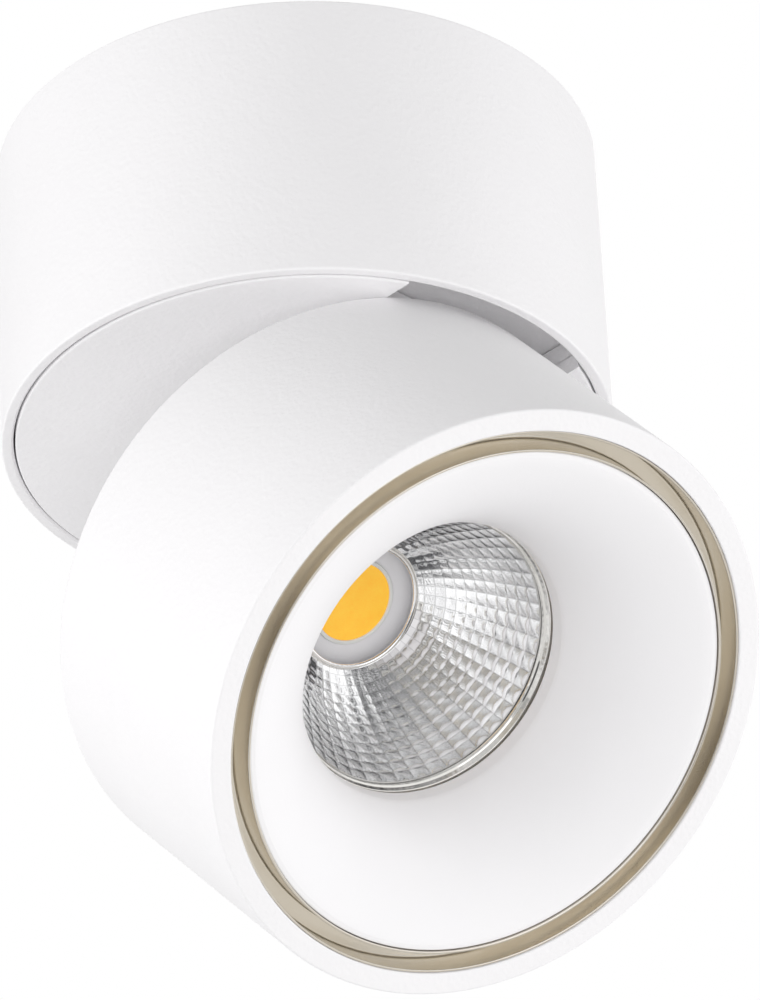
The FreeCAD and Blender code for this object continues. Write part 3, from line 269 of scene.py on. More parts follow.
class Wire:
    # A socket that can be used in sums. Every sum adds its own Math node.
    def __init__(self, tree, socket):
        self.tree = tree
        self.socket = socket

    def also(self, out):
        # Another output of the same node.
        return Wire(self.tree, self.socket.node.outputs[out])

    def math(self, operation, a, b=None):
        node = self.tree.nodes.new("ShaderNodeMath")
        node.operation = operation
        for socket, value in zip(node.inputs, (a, b)):
            feed(self.tree, socket, value)
        return Wire(self.tree, node.outputs[0])

    def __add__(self, other):
        return self.math("ADD", self, other)

    __radd__ = __add__

    def __sub__(self, other):
        return self.math("SUBTRACT", self, other)

    def __rsub__(self, other):
        return self.math("SUBTRACT", other, self)

    def __mul__(self, other):
        return self.math("MULTIPLY", self, other)

    __rmul__ = __mul__

    def atMost(self, other):
        return self.math("MINIMUM", self, other)

    def wholePart(self):
        return self.math("FLOOR", self)

    def toNearestWhole(self):
        # Distance down to the last whole number or up to the next, whichever is less.
        part = self.math("FRACT", self)
        return part.atMost(1 - part)


class Graph:
    # A node tree and the one way of adding nodes to it.
    def __init__(self, tree, outputKind):
        self.tree = tree
        tree.nodes.clear()
        self.output = tree.nodes.new(outputKind)

    def show(self, surface):
        feed(self.tree, self.output.inputs["Surface"], surface)

    def node(self, kind, settings=None, sockets=None, out=0):
        # Settings first, then the values or wires of the sockets. The wire of one output comes back.
        item = self.tree.nodes.new("ShaderNode" + kind)
        for name, value in (settings or {}).items():
            setattr(item, name, value)
        for name, value in (sockets or {}).items():
            feed(self.tree, item.inputs[name], value)
        return Wire(self.tree, item.outputs[out])

    def mixShader(self, factor, first, second):
        return self.node("MixShader", {}, {0: factor, 1: first, 2: second})


noiseRoughness = 0.55                                     # how much the finer layers of every noise count


class Finish(Graph):
    # A material with one Principled shader. Sizes are in millimetres.
    def __init__(self, name):
        self.material = bpy.data.materials.new(name)
        self.material.use_nodes = True
        super().__init__(self.material.node_tree, "ShaderNodeOutputMaterial")
        self.shader = self.node("BsdfPrincipled")
        self.show(self.shader)

    def set(self, **sockets):
        names = {"colour": "Base Color", "roughness": "Roughness", "metal": "Metallic", "coat": "Coat Weight",
                 "coatRoughness": "Coat Roughness", "normal": "Normal", "glow": "Emission Strength",
                 "glowColour": "Emission Color", "level": "Specular IOR Level"}
        for name, value in sockets.items():
            feed(self.tree, self.shader.socket.node.inputs[names[name]], value)
        return self

    def objectPlace(self):
        return self.node("TexCoord", out="Object")

    def noise(self, size, detail, coords=None):
        # Noise whose features are about the size across.
        return self.node("TexNoise", {"noise_dimensions": "3D"}, {
            "Vector": coords or self.objectPlace(), "Scale": 1 / (size * unit), "Detail": detail,
            "Roughness": noiseRoughness})

    def cells(self, size, coords, feature="F1"):
        # Distance to the nearest of points that lie about the size apart.
        return self.node("TexVoronoi", {"feature": feature}, {"Vector": coords, "Scale": 1 / (size * unit)})

    def stretch(self, value, to, start=(0.0, 1.0)):
        # The value, held between the two of start, carried over to the two of to.
        return self.node("MapRange", {"clamp": True}, {
            "Value": value, "From Min": start[0], "From Max": start[1], "To Min": to[0], "To Max": to[1]})

    def blend(self, factor, first, second):
        return self.node("Mix", {"data_type": "RGBA"}, {0: factor, 6: first, 7: second}, 2)

    def bump(self, height, depth):
        # Relief whose full height is the depth.
        return self.node("Bump", {}, {"Height": height, "Distance": depth * unit, "Strength": 1.0})


# White powder coat, on the body and finer on the baffle. Shares are parts of the relief.
coat = {
    "colour": (0.902, 0.892, 0.903), "darker": 0.985, "clouds": 30, "contrast": (0.35, 0.65), "drift": 2.2,
    "peel": 0.25, "pebbleShare": 0.55, "driftShare": 0.5, "peelShare": 0.22, "roughSpread": 0.1,
    "body": {"pebble": 0.8, "depth": 0.12, "rough": 0.42},
    "baffle": {"pebble": 0.4, "depth": 0.012, "rough": 0.5},
}


def powderCoat(name, pebble, depth, rough):
    # Low rounded pebbles with a finer orange-peel on them, a little duller in the hollows.
    c = coat
    finish = Finish(name)
    coords = finish.objectPlace()
    drift = finish.noise(pebble * c["drift"], 2.0, coords)
    pebbles = finish.cells(pebble, coords, "SMOOTH_F1")
    peel = finish.noise(c["peel"], 2.0, coords)
    height = (1 - pebbles) * c["pebbleShare"] + drift * c["driftShare"] + peel * c["peelShare"]
    shade = finish.stretch(finish.noise(c["clouds"], 2.0, coords), (0.0, 1.0), c["contrast"])
    darker = tuple(part * c["darker"] for part in c["colour"])
    return finish.set(
        colour=finish.blend(shade, darker, c["colour"]), normal=finish.bump(height, depth),
        roughness=finish.stretch(drift, (rough, rough + c["roughSpread"]))).material


zincLook = {
    "spangle": 1.6, "clouds": 2.5, "spangleShare": 0.4, "contrast": (0.2, 0.7),
    "colours": ((0.55, 0.56, 0.58), (0.72, 0.73, 0.74)), "rough": (0.26, 0.42), "relief": 0.01,
}


def zincPlate():
    # Crystals of bright zinc under soft clouds.
    z = zincLook
    finish = Finish("zinc plate")
    coords = finish.objectPlace()
    spangle = finish.cells(z["spangle"], coords)
    clouds = finish.noise(z["clouds"], 4.0, coords)
    mixed = spangle * z["spangleShare"] + clouds * (1 - z["spangleShare"])
    tone = finish.stretch(mixed, (0.0, 1.0), z["contrast"])
    return finish.set(
        colour=finish.blend(tone, *z["colours"]), metal=1.0, roughness=finish.stretch(clouds, z["rough"]),
        normal=finish.bump(clouds, z["relief"])).material


# Sizes of the clouds and of the grain, the two colours, the roughness and the relief.
metals = {
    "black steel": {"clouds": 0.8, "colours": ((0.03, 0.03, 0.034), (0.07, 0.07, 0.075)),
                    "rough": (0.35, 0.5)},
    "plain brass": {"clouds": 1.0, "colours": ((0.62, 0.45, 0.17), (0.78, 0.60, 0.28)),
                    "rough": (0.22, 0.36)},
    "polished chrome": {"clouds": 6, "grain": 0.5, "colours": ((0.80, 0.785, 0.75), (0.86, 0.85, 0.82)),
                        "rough": (0.04, 0.08), "relief": 0.003},
    "satin trim": {"clouds": 4, "grain": 0.35, "colours": ((0.86, 0.815, 0.735), (0.91, 0.87, 0.80)),
                   "rough": (0.2, 0.28), "relief": 0.01},
    "cast aluminium": {"clouds": 1.2, "grain": 0.25, "colours": ((0.50, 0.51, 0.53), (0.66, 0.67, 0.69)),
                       "rough": (0.38, 0.55), "relief": 0.03, "cloudShare": 0.6},
}


def bareMetal(name):
    # Clouds turn both the tone and the gloss.
    look = metals[name]
    finish = Finish(name)
    clouds = finish.noise(look["clouds"], 3.0)
    return finish.set(colour=finish.blend(clouds, *look["colours"]), metal=1.0,
                      roughness=finish.stretch(clouds, look["rough"])).material


def platedMetal(name):
    # Bright plating over the faint waviness of spun metal, with a fine grain in its gloss.
    look = metals[name]
    finish = Finish(name)
    clouds = finish.noise(look["clouds"], 2.0)
    grain = finish.noise(look["grain"], 2.0)
    return finish.set(
        colour=finish.blend(clouds, *look["colours"]), metal=1.0,
        roughness=finish.stretch(grain, look["rough"]), normal=finish.bump(clouds, look["relief"])).material


def castMetalSkin(name):
    # Dull cast skin: clouds and grain together make its relief.
    look = metals[name]
    finish = Finish(name)
    clouds = finish.noise(look["clouds"], 4.0)
    grain = finish.noise(look["grain"], 2.0)
    height = clouds * look["cloudShare"] + grain * (1 - look["cloudShare"])
    return finish.set(
        colour=finish.blend(clouds, *look["colours"]), metal=1.0,
        roughness=finish.stretch(grain, look["rough"]), normal=finish.bump(height, look["relief"])).material


mirror = {
    "colour": (0.95, 0.95, 0.955), "clouds": 3, "cloudTone": (0.95, 1.0), "panelReflectionTone": (0.88, 1.0),
    "edgeShadeTone": (0.72, 1.0), "edgeShadeWidth": 0.08, "grain": 0.3, "rough": (0.04, 0.1), "relief": 0.004,
}


def mirrorMetal(name, panelled):
    # Bright aluminium. Each panel's own tone is a painted reflection, and its darker edges are painted shade
    # where the panels meet.
    m = mirror
    finish = Finish(name)
    clouds = finish.noise(m["clouds"], 3.0)
    grain = finish.noise(m["grain"], 2.0)
    tone = finish.stretch(clouds, m["cloudTone"])
    if panelled:
        u = finish.node("SeparateXYZ", {}, {"Vector": finish.node("UVMap", {"uv_map": "cell"})})
        v = u.also(1)
        # Painted shade: darker towards each panel's edges.
        edge = u.toNearestWhole().atMost(v.toNearestWhole())
        # Painted reflection: one random tone for each panel.
        whole = finish.node("CombineXYZ", {}, {"X": u.wholePart(), "Y": v.wholePart()})
        panel = finish.node("TexWhiteNoise", {"noise_dimensions": "2D"}, {"Vector": whole})
        tone = (tone * finish.stretch(panel, m["panelReflectionTone"])
                * finish.stretch(edge, m["edgeShadeTone"], (0.0, m["edgeShadeWidth"])))
    return finish.set(
        colour=finish.blend(tone, (0.0, 0.0, 0.0), m["colour"]), metal=1.0,
        roughness=finish.stretch(grain, m["rough"]), normal=finish.bump(clouds, m["relief"])).material


# Colour, roughness, size of the grain and depth of the grain.
plastics = {
    "black rubber": ((0.035, 0.035, 0.036), 0.6, 0.25, 0.03),
    "grey plastic": ((0.30, 0.31, 0.32), 0.45, 0.35, 0.015),
    "white plastic": ((0.80, 0.80, 0.79), 0.35, 0.35, 0.015),
    "white silicone": ((0.88, 0.88, 0.86), 0.4, 0.3, 0.006),
    "grey silicone": ((0.30, 0.30, 0.32), 0.6, 0.35, 0.015),
    "yellow tape": ((0.78, 0.60, 0.10), 0.3, 1.2, 0.03),
    "black sleeve": ((0.03, 0.03, 0.05), 0.25, 0.35, 0.015),
}
moulding = {"clouds": 9, "darker": 0.93, "roughSpread": 0.12}


def mouldedPlastic(name):
    # Slow drift of the tone, and a fine grain in gloss and relief.
    colour, rough, grainSize, depth = plastics[name]
    finish = Finish(name)
    clouds = finish.noise(moulding["clouds"], 2.0)
    grain = finish.noise(grainSize, 2.0)
    darker = tuple(part * moulding["darker"] for part in colour)
    return finish.set(
        colour=finish.blend(clouds, darker, colour), normal=finish.bump(grain, depth),
        roughness=finish.stretch(grain, (rough, rough + moulding["roughSpread"]))).material


amberLook = {
    "colours": ((0.96, 0.47, 0.022), (1.0, 0.58, 0.045)), "grain": 0.12, "clouds": 2.4, "grainShare": 0.7,
    "contrast": (0.35, 0.65), "rough": 0.4, "skin": 0.25, "skinRough": 0.25, "glow": 0.32, "relief": 0.01,
}


def phosphor():
    # Amber phosphor in clear silicone: fine grains of a lighter and a deeper tone under a smooth skin, with a
    # faint painted glow of its own colour.
    a = amberLook
    finish = Finish("amber phosphor")
    coords = finish.objectPlace()
    grain = finish.noise(a["grain"], 3.0, coords)
    clouds = finish.noise(a["clouds"], 2.0, coords)
    tone = finish.stretch(grain * a["grainShare"] + clouds * (1 - a["grainShare"]), (0.0, 1.0), a["contrast"])
    colour = finish.blend(tone, *a["colours"])
    # The glow is painted light: it brightens the amber beyond what the lamps give it.
    return finish.set(colour=colour, roughness=a["rough"], coat=a["skin"], coatRoughness=a["skinRough"],
                      glow=a["glow"], glowColour=colour, normal=finish.bump(grain, a["relief"])).material


ceramicLook = {"colours": ((0.89, 0.88, 0.905), (0.93, 0.92, 0.945)), "clouds": 4, "grain": 0.2,
               "rough": (0.38, 0.5), "relief": 0.006}


def boardCeramic():
    # Fired white ceramic, fine in the grain.
    c = ceramicLook
    finish = Finish("board ceramic")
    clouds = finish.noise(c["clouds"], 3.0)
    grain = finish.noise(c["grain"], 2.0)
    return finish.set(colour=finish.blend(clouds, *c["colours"]), roughness=finish.stretch(grain, c["rough"]),
                      normal=finish.bump(grain, c["relief"])).material


boardLook = {
    "greens": ((0.015, 0.10, 0.035), (0.025, 0.15, 0.055)), "track": (0.06, 0.26, 0.10), "tracks": 9,
    "trackWidth": 0.03, "trackLength": 0.6, "trackPitch": 0.22, "offset": 0.35, "clouds": 3, "rough": 0.3,
    "varnish": 0.4, "varnishRough": 0.15, "relief": 0.03,
}


def circuitBoard():
    # Green solder mask with paler copper tracks just under it.
    b = boardLook
    finish = Finish("circuit board")
    coords = finish.objectPlace()
    tracks = finish.node("TexBrick", {"offset": b["offset"]}, {
        "Vector": coords, "Scale": 1 / (b["tracks"] * unit), "Mortar Size": b["trackWidth"],
        "Brick Width": b["trackLength"], "Row Height": b["trackPitch"]}, out=1)
    clouds = finish.noise(b["clouds"], 2.0, coords)
    green = finish.blend(clouds, *b["greens"])
    return finish.set(colour=finish.blend(tracks, green, b["track"]), roughness=b["rough"], coat=b["varnish"],
                      coatRoughness=b["varnishRough"], normal=finish.bump(tracks, b["relief"])).material


white = powderCoat("white powder coat", **coat["body"])
whiteSmooth = powderCoat("white baffle coat", **coat["baffle"])
zinc = zincPlate()
dark = bareMetal("black steel")
chrome = platedMetal("polished chrome")
satin = platedMetal("satin trim")
facets = mirrorMetal("mirror facets", True)
rolled = mirrorMetal("rolled mirror edge", False)
castMetal = castMetalSkin("cast aluminium")
brass = bareMetal("plain brass")
blackRubber = mouldedPlastic("black rubber")
greyPlastic = mouldedPlastic("grey plastic")
whitePlastic = mouldedPlastic("white plastic")
damSilicone = mouldedPlastic("white silicone")
greySilicone = mouldedPlastic("grey silicone")
yellowTape = mouldedPlastic("yellow tape")
blackSleeve = mouldedPlastic("black sleeve")
amber = phosphor()
ceramic = boardCeramic()
board = circuitBoard()
print("materials made")


canopy = {
    "radius": 50.0, "topRadius": 49.5, "edge": 0.35, "rimInner": 48.0, "rimBevel": 0.4, "wallInner": 47.3,
    "webUnder": -46.0, "webTop": -43.5, "studHole": 5.05, "grooveRadius": 48.5, "grooveTop": -6.0,
    "grooveBottom": -8.4, "lockHole": 2.3, "lockHeight": -7.0, "lockReach": (44.0, 54.0), "holeEdge": 0.2,
    "webCorner": 0.5, "webFillet": 0.8, "bevelEdge": 0.15, "topEdge": 0.3, "segments": 256,
}


def canopyShell():
    # Drum wall with a softened lower edge, the web across it and the groove near the top.
    c = canopy
    bottom = canopyBottom
    profile = softCorners([
        (c["studHole"], c["webUnder"], c["holeEdge"]), (c["rimInner"], c["webUnder"], c["webCorner"]),
        (c["rimInner"], bottom + c["rimBevel"], c["bevelEdge"]),
        (c["rimInner"] + c["rimBevel"], bottom, c["bevelEdge"]),
        (c["radius"], bottom, c["edge"]), (c["topRadius"], 0.0, c["topEdge"]),
        (c["wallInner"], 0.0, c["topEdge"]),
        (c["wallInner"], c["grooveTop"], 0), (c["grooveRadius"], c["grooveTop"], 0),
        (c["grooveRadius"], c["grooveBottom"], 0), (c["wallInner"], c["grooveBottom"], 0),
        (c["wallInner"], c["webTop"], c["webFillet"]), (c["studHole"], c["webTop"], c["holeEdge"]),
    ])
    item = turnedSolid("canopyShell", profile, c["segments"])
    cutAway(item, [prism("lockHole", circle(0, c["lockHeight"], c["lockHole"], 48), *c["lockReach"], True)])
    return place(item, "canopy", white, "white_coat", "base_housing")


disc = {
    "radius": 47.7, "top": -49.5, "edge": 0.35, "topEdge": 0.2, "centreHole": 4.1, "holeEdge": 0.15,
    "recessHalfWidth": 19.0, "recessInner": 34.2, "recessCorner": 1.2, "slotNear": 25.9, "slotFar": 31.5,
    "slotInner": 4.4, "slotOuter": 6.6, "slotCorner": 0.5, "seatRing": 7.2, "seatAngles": (0, 120, 240),
    "seatRadius": 2.7, "seatDepth": 1.35, "bracketSeats": (16.0, 22.0), "wall": 1.2, "wallTop": -46.3,
    "wallReach": 43.6, "wallReachOuter": 43.05, "wallEdge": 0.1, "wallSink": 0.1, "segments": 256,
    "cutAbove": 1, "cutBeyond": 6,
}


def swivelDisc():
    # Round plate, cut for the recess, for the two arms and for the screw seats.
    d = disc
    bottom = canopyBottom
    profile = softCorners([
        (d["centreHole"], bottom, d["holeEdge"]), (d["radius"], bottom, d["edge"]),
        (d["radius"], d["top"], d["topEdge"]), (d["centreHole"], d["top"], d["holeEdge"]),
    ])
    item = turnedSolid("swivelDisc", profile, d["segments"])
    below, above = bottom - d["cutAbove"], d["top"] + d["cutAbove"]
    half = d["recessHalfWidth"]
    recess = rectangle(-half, -d["radius"] - d["cutBeyond"], half, -d["recessInner"], d["recessCorner"])
    cutters = [prism("recess", recess, below, above)]
    for side in (1, -1):
        x0, x1 = sorted((side * d["slotInner"], side * d["slotOuter"]))
        slot = rectangle(x0, -d["slotFar"], x1, -d["slotNear"], d["slotCorner"])
        cutters.append(prism("armSlot", slot, below, above))
    seats = [(d["seatRing"] * math.cos(math.radians(a)), d["seatRing"] * math.sin(math.radians(a)))
             for a in d["seatAngles"]]
    seats += [(0.0, -y) for y in d["bracketSeats"]]
    for x, y in seats:
        cutters.append(prism("seat", circle(x, y, d["seatRadius"], 40), below, bottom + d["seatDepth"]))
    cutAway(item, cutters)
    return place(item, "swivel", white, "white_coat", "swivel_plate")


def pocketWalls():
    # Upright walls round the recess, in plan an open U with softened corners.
    d = disc
    half, inner, wall = d["recessHalfWidth"], d["recessInner"], d["wall"]
    soft, edge = d["recessCorner"], d["wallEdge"]
    corners = [
        (-half, -d["wallReach"], edge), (-half, -inner, soft),
        (half, -inner, soft), (half, -d["wallReach"], edge),
        (half + wall, -d["wallReachOuter"], edge), (half + wall, wall - inner, soft),
        (-half - wall, wall - inner, soft), (-half - wall, -d["wallReachOuter"], edge),
    ]
    item = prism("pocketWalls", softCorners(corners), d["top"] - d["wallSink"], d["wallTop"])
    return place(item, "swivel", white, "white_coat")


canopyShell()
swivelDisc()
pocketWalls()
print("canopy and disc made")


head = {
    "radius": 50.0, "rearEdge": 0.5, "frontEdge": 0.4, "front": -50.8, "rearInner": 47.8, "inner": 46.6,
    "frontInner": 46.3, "land": -38.0, "ledge": -8.2, "rearInnerEdge": 0.15, "frontInnerEdge": 0.25,
    "landEdge": 0.1, "segments": 256,
}


def headShell():
    # Drum with softened ends, a ledge inside near the rear and a thicker rim at the front.
    h = head
    profile = softCorners([
        (h["rearInner"], 0.0, h["rearInnerEdge"]), (h["radius"], 0.0, h["rearEdge"]),
        (h["radius"], h["front"], h["frontEdge"]), (h["frontInner"], h["front"], h["frontInnerEdge"]),
        (h["frontInner"], h["land"], h["landEdge"]), (h["inner"], h["land"], 0),
        (h["inner"], h["ledge"], 0), (h["rearInner"], h["ledge"], 0),
    ])
    item = turnedSolid("headShell", profile, h["segments"], hangHead)
    return place(item, "head", white, "white_coat", "head_housing")


trim = {"bore": 42.7, "radius": 46.25, "wall": 0.4, "front": -50.5, "floor": -44.8, "root": 0.35, "lip": 0.15,
        "backEdge": 0.3, "segments": 256}


def trimChannel():
    # Channel of thin bright metal, open to the front, with a rounded floor.
    t = trim
    bottom = t["floor"] - t["wall"]
    profile = softCorners([
        (t["bore"], t["front"], t["lip"]), (t["bore"] + t["wall"], t["front"], t["lip"]),
        (t["bore"] + t["wall"], bottom, t["root"]), (t["radius"] - t["wall"], bottom, t["root"]),
        (t["radius"] - t["wall"], t["front"], t["lip"]), (t["radius"], t["front"], t["lip"]),
        (t["radius"], t["floor"], t["backEdge"]), (t["bore"], t["floor"], t["backEdge"]),
    ])
    item = turnedSolid("trimChannel", profile, t["segments"], hangHead)
    return place(item, "head", satin, "polished_chrome", "trim_ring")


baffle = {
    "neckRadius": 23.6, "neckDepth": 30.1, "edgeRadius": 23.9, "edgeDepth": 32.6, "frontRadius": 42.6,
    "frontDepth": 50.2, "bend": 30.3, "wall": 1.5, "land": 1.2, "neckWall": 1.95, "skirtTop": 44.5,
    "skirtWall": 1.2, "skirtFoot": 2.2, "steps": 28, "segments": 240,
    "neckLip": 0.15, "neckTurn": [(0.0, -0.15), (0.01, -0.4)],   # from the neck's back edge: outwards, up
    "edgeTurn": [(-0.05, 0.5), (-0.02, 0.2)],                    # from the funnel's inner edge: outwards, up
    "landEdge": 0.25, "lipDrop": 0.1, "lipRound": 0.3, "skirtEdge": 0.2,
}
posts = {
    "count": 3, "ring": 27.6, "radius": 2.3, "top": 8.25, "sink": 2.7, "bore": 1.2, "thread": 9.0,
    "holeEdge": 0.1, "topEdge": 0.2, "pole": 0.2, "segments": 40,
}


def bentSide(start, end, radius, steps):
    # Points of an arc from start to end, both left out. It turns left for a positive radius.
    start, end = np.array(start), np.array(end)
    chord = end - start
    length = np.linalg.norm(chord)
    normal = np.array([-chord[1], chord[0]]) / length * np.sign(radius)
    centre = (start + end) / 2 + normal * math.sqrt(radius ** 2 - (length / 2) ** 2)
    sweep = 2 * math.asin(length / 2 / abs(radius)) * np.sign(radius)
    angles = (math.atan2(*(start - centre)[::-1]) + np.linspace(0, sweep, steps + 1))[1:-1]
    return centre + abs(radius) * np.column_stack([np.cos(angles), np.sin(angles)])


def baffleCone():
    # Trumpet-shaped funnel: its face is an arc, steep at the bowl and flat at the front, and a short neck
    # rises behind its edge.
    b = baffle
    front, skirt = b["frontRadius"], b["frontRadius"] - b["skirtWall"]
    neck = (b["neckRadius"], -b["neckDepth"])
    neckBack = (b["neckRadius"] + b["neckWall"], -b["neckDepth"])
    edge, land = (b["edgeRadius"], -b["edgeDepth"]), (front - b["land"], -b["frontDepth"])
    foot = (skirt, -b["frontDepth"] + b["skirtFoot"])
    lip = softCorners([
        land + (b["landEdge"],), (front, -b["frontDepth"] + b["lipDrop"], b["lipRound"]),
        (front, -b["skirtTop"], b["skirtEdge"]), (skirt, -b["skirtTop"], b["skirtEdge"]), foot + (0,),
    ], 4)[4:]                                             # of the land's own arc only the end
    profile = np.vstack([
        np.add(neck, b["neckTurn"]), np.add(edge, b["edgeTurn"]), [edge],
        bentSide(edge, land, b["bend"], b["steps"]), lip,
        bentSide(foot, neckBack, b["wall"] - b["bend"], b["steps"]),
        [neckBack, (b["neckRadius"] + b["neckLip"], -b["neckDepth"])],
    ])
    item = turnedSolid("baffleCone", profile, b["segments"], hangHead)
    return place(item, "head", whiteSmooth, "white_coat", "glare_cone")


def bafflePosts():
    # Hollow screw posts behind the funnel, at equal angles.
    p = posts
    bore, radius, top, low = p["bore"], p["radius"], -p["top"], -baffle["edgeDepth"] - p["sink"]
    column = softCorners([
        (bore, top - p["thread"], 0), (bore, top, p["holeEdge"]), (radius, top, p["topEdge"]),
        (radius, low, 0), (p["pole"], low, 0),
    ])
    for k in range(p["count"]):
        angle = 2 * math.pi * k / p["count"]
        shift = np.array([p["ring"] * math.cos(angle), p["ring"] * math.sin(angle), 0])
        post = turnedSolid(f"bafflePost{k}", column, p["segments"], lambda q, s=shift: hangHead(q + s))
        place(post, "head", whiteSmooth, "white_coat")


bowl = {
    "throat": 10.4, "mouth": 23.0, "throatDepth": 8.3, "mouthDepth": 27.4, "wall": 0.8, "flange": 24.4,
    "rings": 12, "growth": 0.2, "columns": 48, "phase": 0.5, "across": 6, "along": 6,
    "pillow": 0.24, "lengthwise": 0.85, "step": 0.12, "sharp": 12,
    "bead": 0.45, "beadOut": 0.1, "beadDown": 0.25, "beadSegments": 120,
}


def facetBowl():
    # Panels on a parabola, ring by ring and column by column: the square of the radius grows evenly with the
    # depth, and the rings grow a little towards the mouth. Each panel bulges into the bowl by
    # pillow * (1 - u * u) * (1 - lengthwise * v * v), with u and v from -1 to 1 across it, and leans inwards
    # by step from its throat side to its mouth side.
    b = bowl
    rings, columns, across, along = b["rings"], b["columns"], b["across"], b["along"]
    share = np.linspace(0, 1, rings + 1)
    deep = share * (1 - b["growth"]) + b["growth"] * share ** 2
    nodeRadius = np.sqrt(b["throat"] ** 2 + (b["mouth"] ** 2 - b["throat"] ** 2) * deep)
    nodeDepth = b["throatDepth"] + (b["mouthDepth"] - b["throatDepth"]) * deep
    row = np.arange(rings * along + 1)
    ring = np.minimum(row // along, rings - 1)
    v = (row - ring * along) / along
    radius = nodeRadius[ring] * (1 - v) + nodeRadius[ring + 1] * v
    depth = nodeDepth[ring] * (1 - v) + nodeDepth[ring + 1] * v
    slope = np.stack([nodeDepth[ring + 1] - nodeDepth[ring], -(nodeRadius[ring + 1] - nodeRadius[ring])], -1)
    slope /= np.linalg.norm(slope, axis=1)[:, None]
    step = np.arange(columns * across)
    u = (step % across) / across
    panel = 2 * math.pi / columns
    angle = panel * (step // across + b["phase"])
    chord = np.stack([np.cos(angle) * (1 - u) + np.cos(angle + panel) * u,
                      np.sin(angle) * (1 - u) + np.sin(angle + panel) * u], -1)
    middle = angle + panel / 2
    bulge = b["pillow"] * (1 - (2 * u[:, None] - 1) ** 2) * (1 - b["lengthwise"] * (2 * v[None, :] - 1) ** 2)
    inward = (bulge + b["step"] * v[None, :]) * (nodeRadius[ring] / b["mouth"])[None, :]
    x = radius[None, :] * chord[:, 0:1] - np.cos(middle)[:, None] * inward * slope[None, :, 0]
    y = radius[None, :] * chord[:, 1:2] - np.sin(middle)[:, None] * inward * slope[None, :, 0]
    z = -depth[None, :] - inward * slope[None, :, 1]
    inner = np.stack([x, y, z], -1)
    round_ = np.stack([np.cos(angle + u * panel), np.sin(angle + u * panel)], -1)
    outline = [(b["flange"], -b["mouthDepth"]), (b["flange"], -b["mouthDepth"] + b["wall"])]
    outline += [(r + b["wall"], -d) for r, d in zip(nodeRadius[::-1][1:], nodeDepth[::-1][1:])]
    outline = np.array(outline)
    outer = np.stack([np.outer(round_[:, 0], outline[:, 0]), np.outer(round_[:, 1], outline[:, 0]),
                      np.outer(np.ones(len(step)), outline[:, 1])], -1)
    points = np.concatenate([inner, outer], 1)
    faces = gridFaces(len(step), points.shape[1], True, True)[:, ::-1]
    item = meshObject("facetBowl", hangHead(points.reshape(-1, 3)), faces, b["sharp"])
    # Each corner carries its column and ring, counted in panels; 0, 0 outside the bowl.
    cell = item.data.uv_layers.new(name="cell")
    rowOf, columnOf = faces % points.shape[1], faces // points.shape[1]
    columnOf = np.where((columnOf == 0) & (columnOf.max(1) > across)[:, None], len(step), columnOf)
    inside = (rowOf.max(1) <= rings * along)[:, None]
    places = np.stack([np.where(inside, columnOf / across, 0), np.where(inside, rowOf / along, 0)], -1)
    cell.data.foreach_set("uv", places.reshape(-1))
    return place(item, "head", facets, "mirror_facets", "reflector")


def throatBead():
    # Rolled edge round the bowl's throat: a small circle, carried once round.
    b = bowl
    section = circle(b["throat"] + b["beadOut"], -b["throatDepth"] - b["beadDown"], b["bead"], 16)
    bead = turnedSolid("throatBead", section, b["beadSegments"], hangHead)
    return place(bead, "head", rolled, "mirror_facets")


collar = {
    "radius": 25.0, "bore": 23.4, "lip": 22.95, "bead": 0.8, "top": 26.45, "under": 27.45, "low": 30.05,
    "flange": 24.4, "flangeGap": 0.1, "shadow": 0.6, "flare": 0.2, "edge": 0.1, "topEdge": 0.2,
    "beadRound": 0.35, "beadFoot": 0.2, "shadowEdge": 0.05, "segments": 200,
    "beadLean": 0.2, "beadEnd": 1.25,                     # both in heights of the bead
}


def collarRing():
    # Polished ring outside the bowl's flange, with a bead at the bowl's mouth and a stepped lower end.
    c = collar
    under, bead, step, edge = c["under"], c["bead"], c["low"] - c["shadow"], c["edge"]
    seat, beadBack = c["flange"] + c["flangeGap"], c["lip"] + c["beadLean"] * bead
    profile = softCorners([
        (c["radius"], -c["low"], edge), (c["radius"], -c["top"], c["topEdge"]), (seat, -c["top"], 0),
        (seat, -under, 0), (beadBack, -under, edge), (c["lip"], -under - bead / 2, c["beadRound"]),
        (beadBack, -under - bead, c["beadFoot"]), (c["bore"], -under - c["beadEnd"] * bead, edge),
        (c["bore"] + c["flare"], -step, c["beadFoot"]),
        (c["flange"], -step, c["shadowEdge"]), (c["flange"], -c["low"], 0),
    ], 6)
    item = turnedSolid("collarRing", profile, c["segments"], hangHead)
    return place(item, "head", chrome, "polished_chrome", "reflector_ring")


lamp = {
    "boardRadius": 13.2, "boardTop": 5.41, "boardFace": 6.41, "boardEdge": 0.1, "damOuter": 7.4,
    "damHeight": 0.5, "damRound": 0.3, "spotRadius": 6.69, "spotHeight": 0.3, "spotCrown": 0.12,
    "spotEdge": 0.08, "segments": 96, "rings": 14,
}


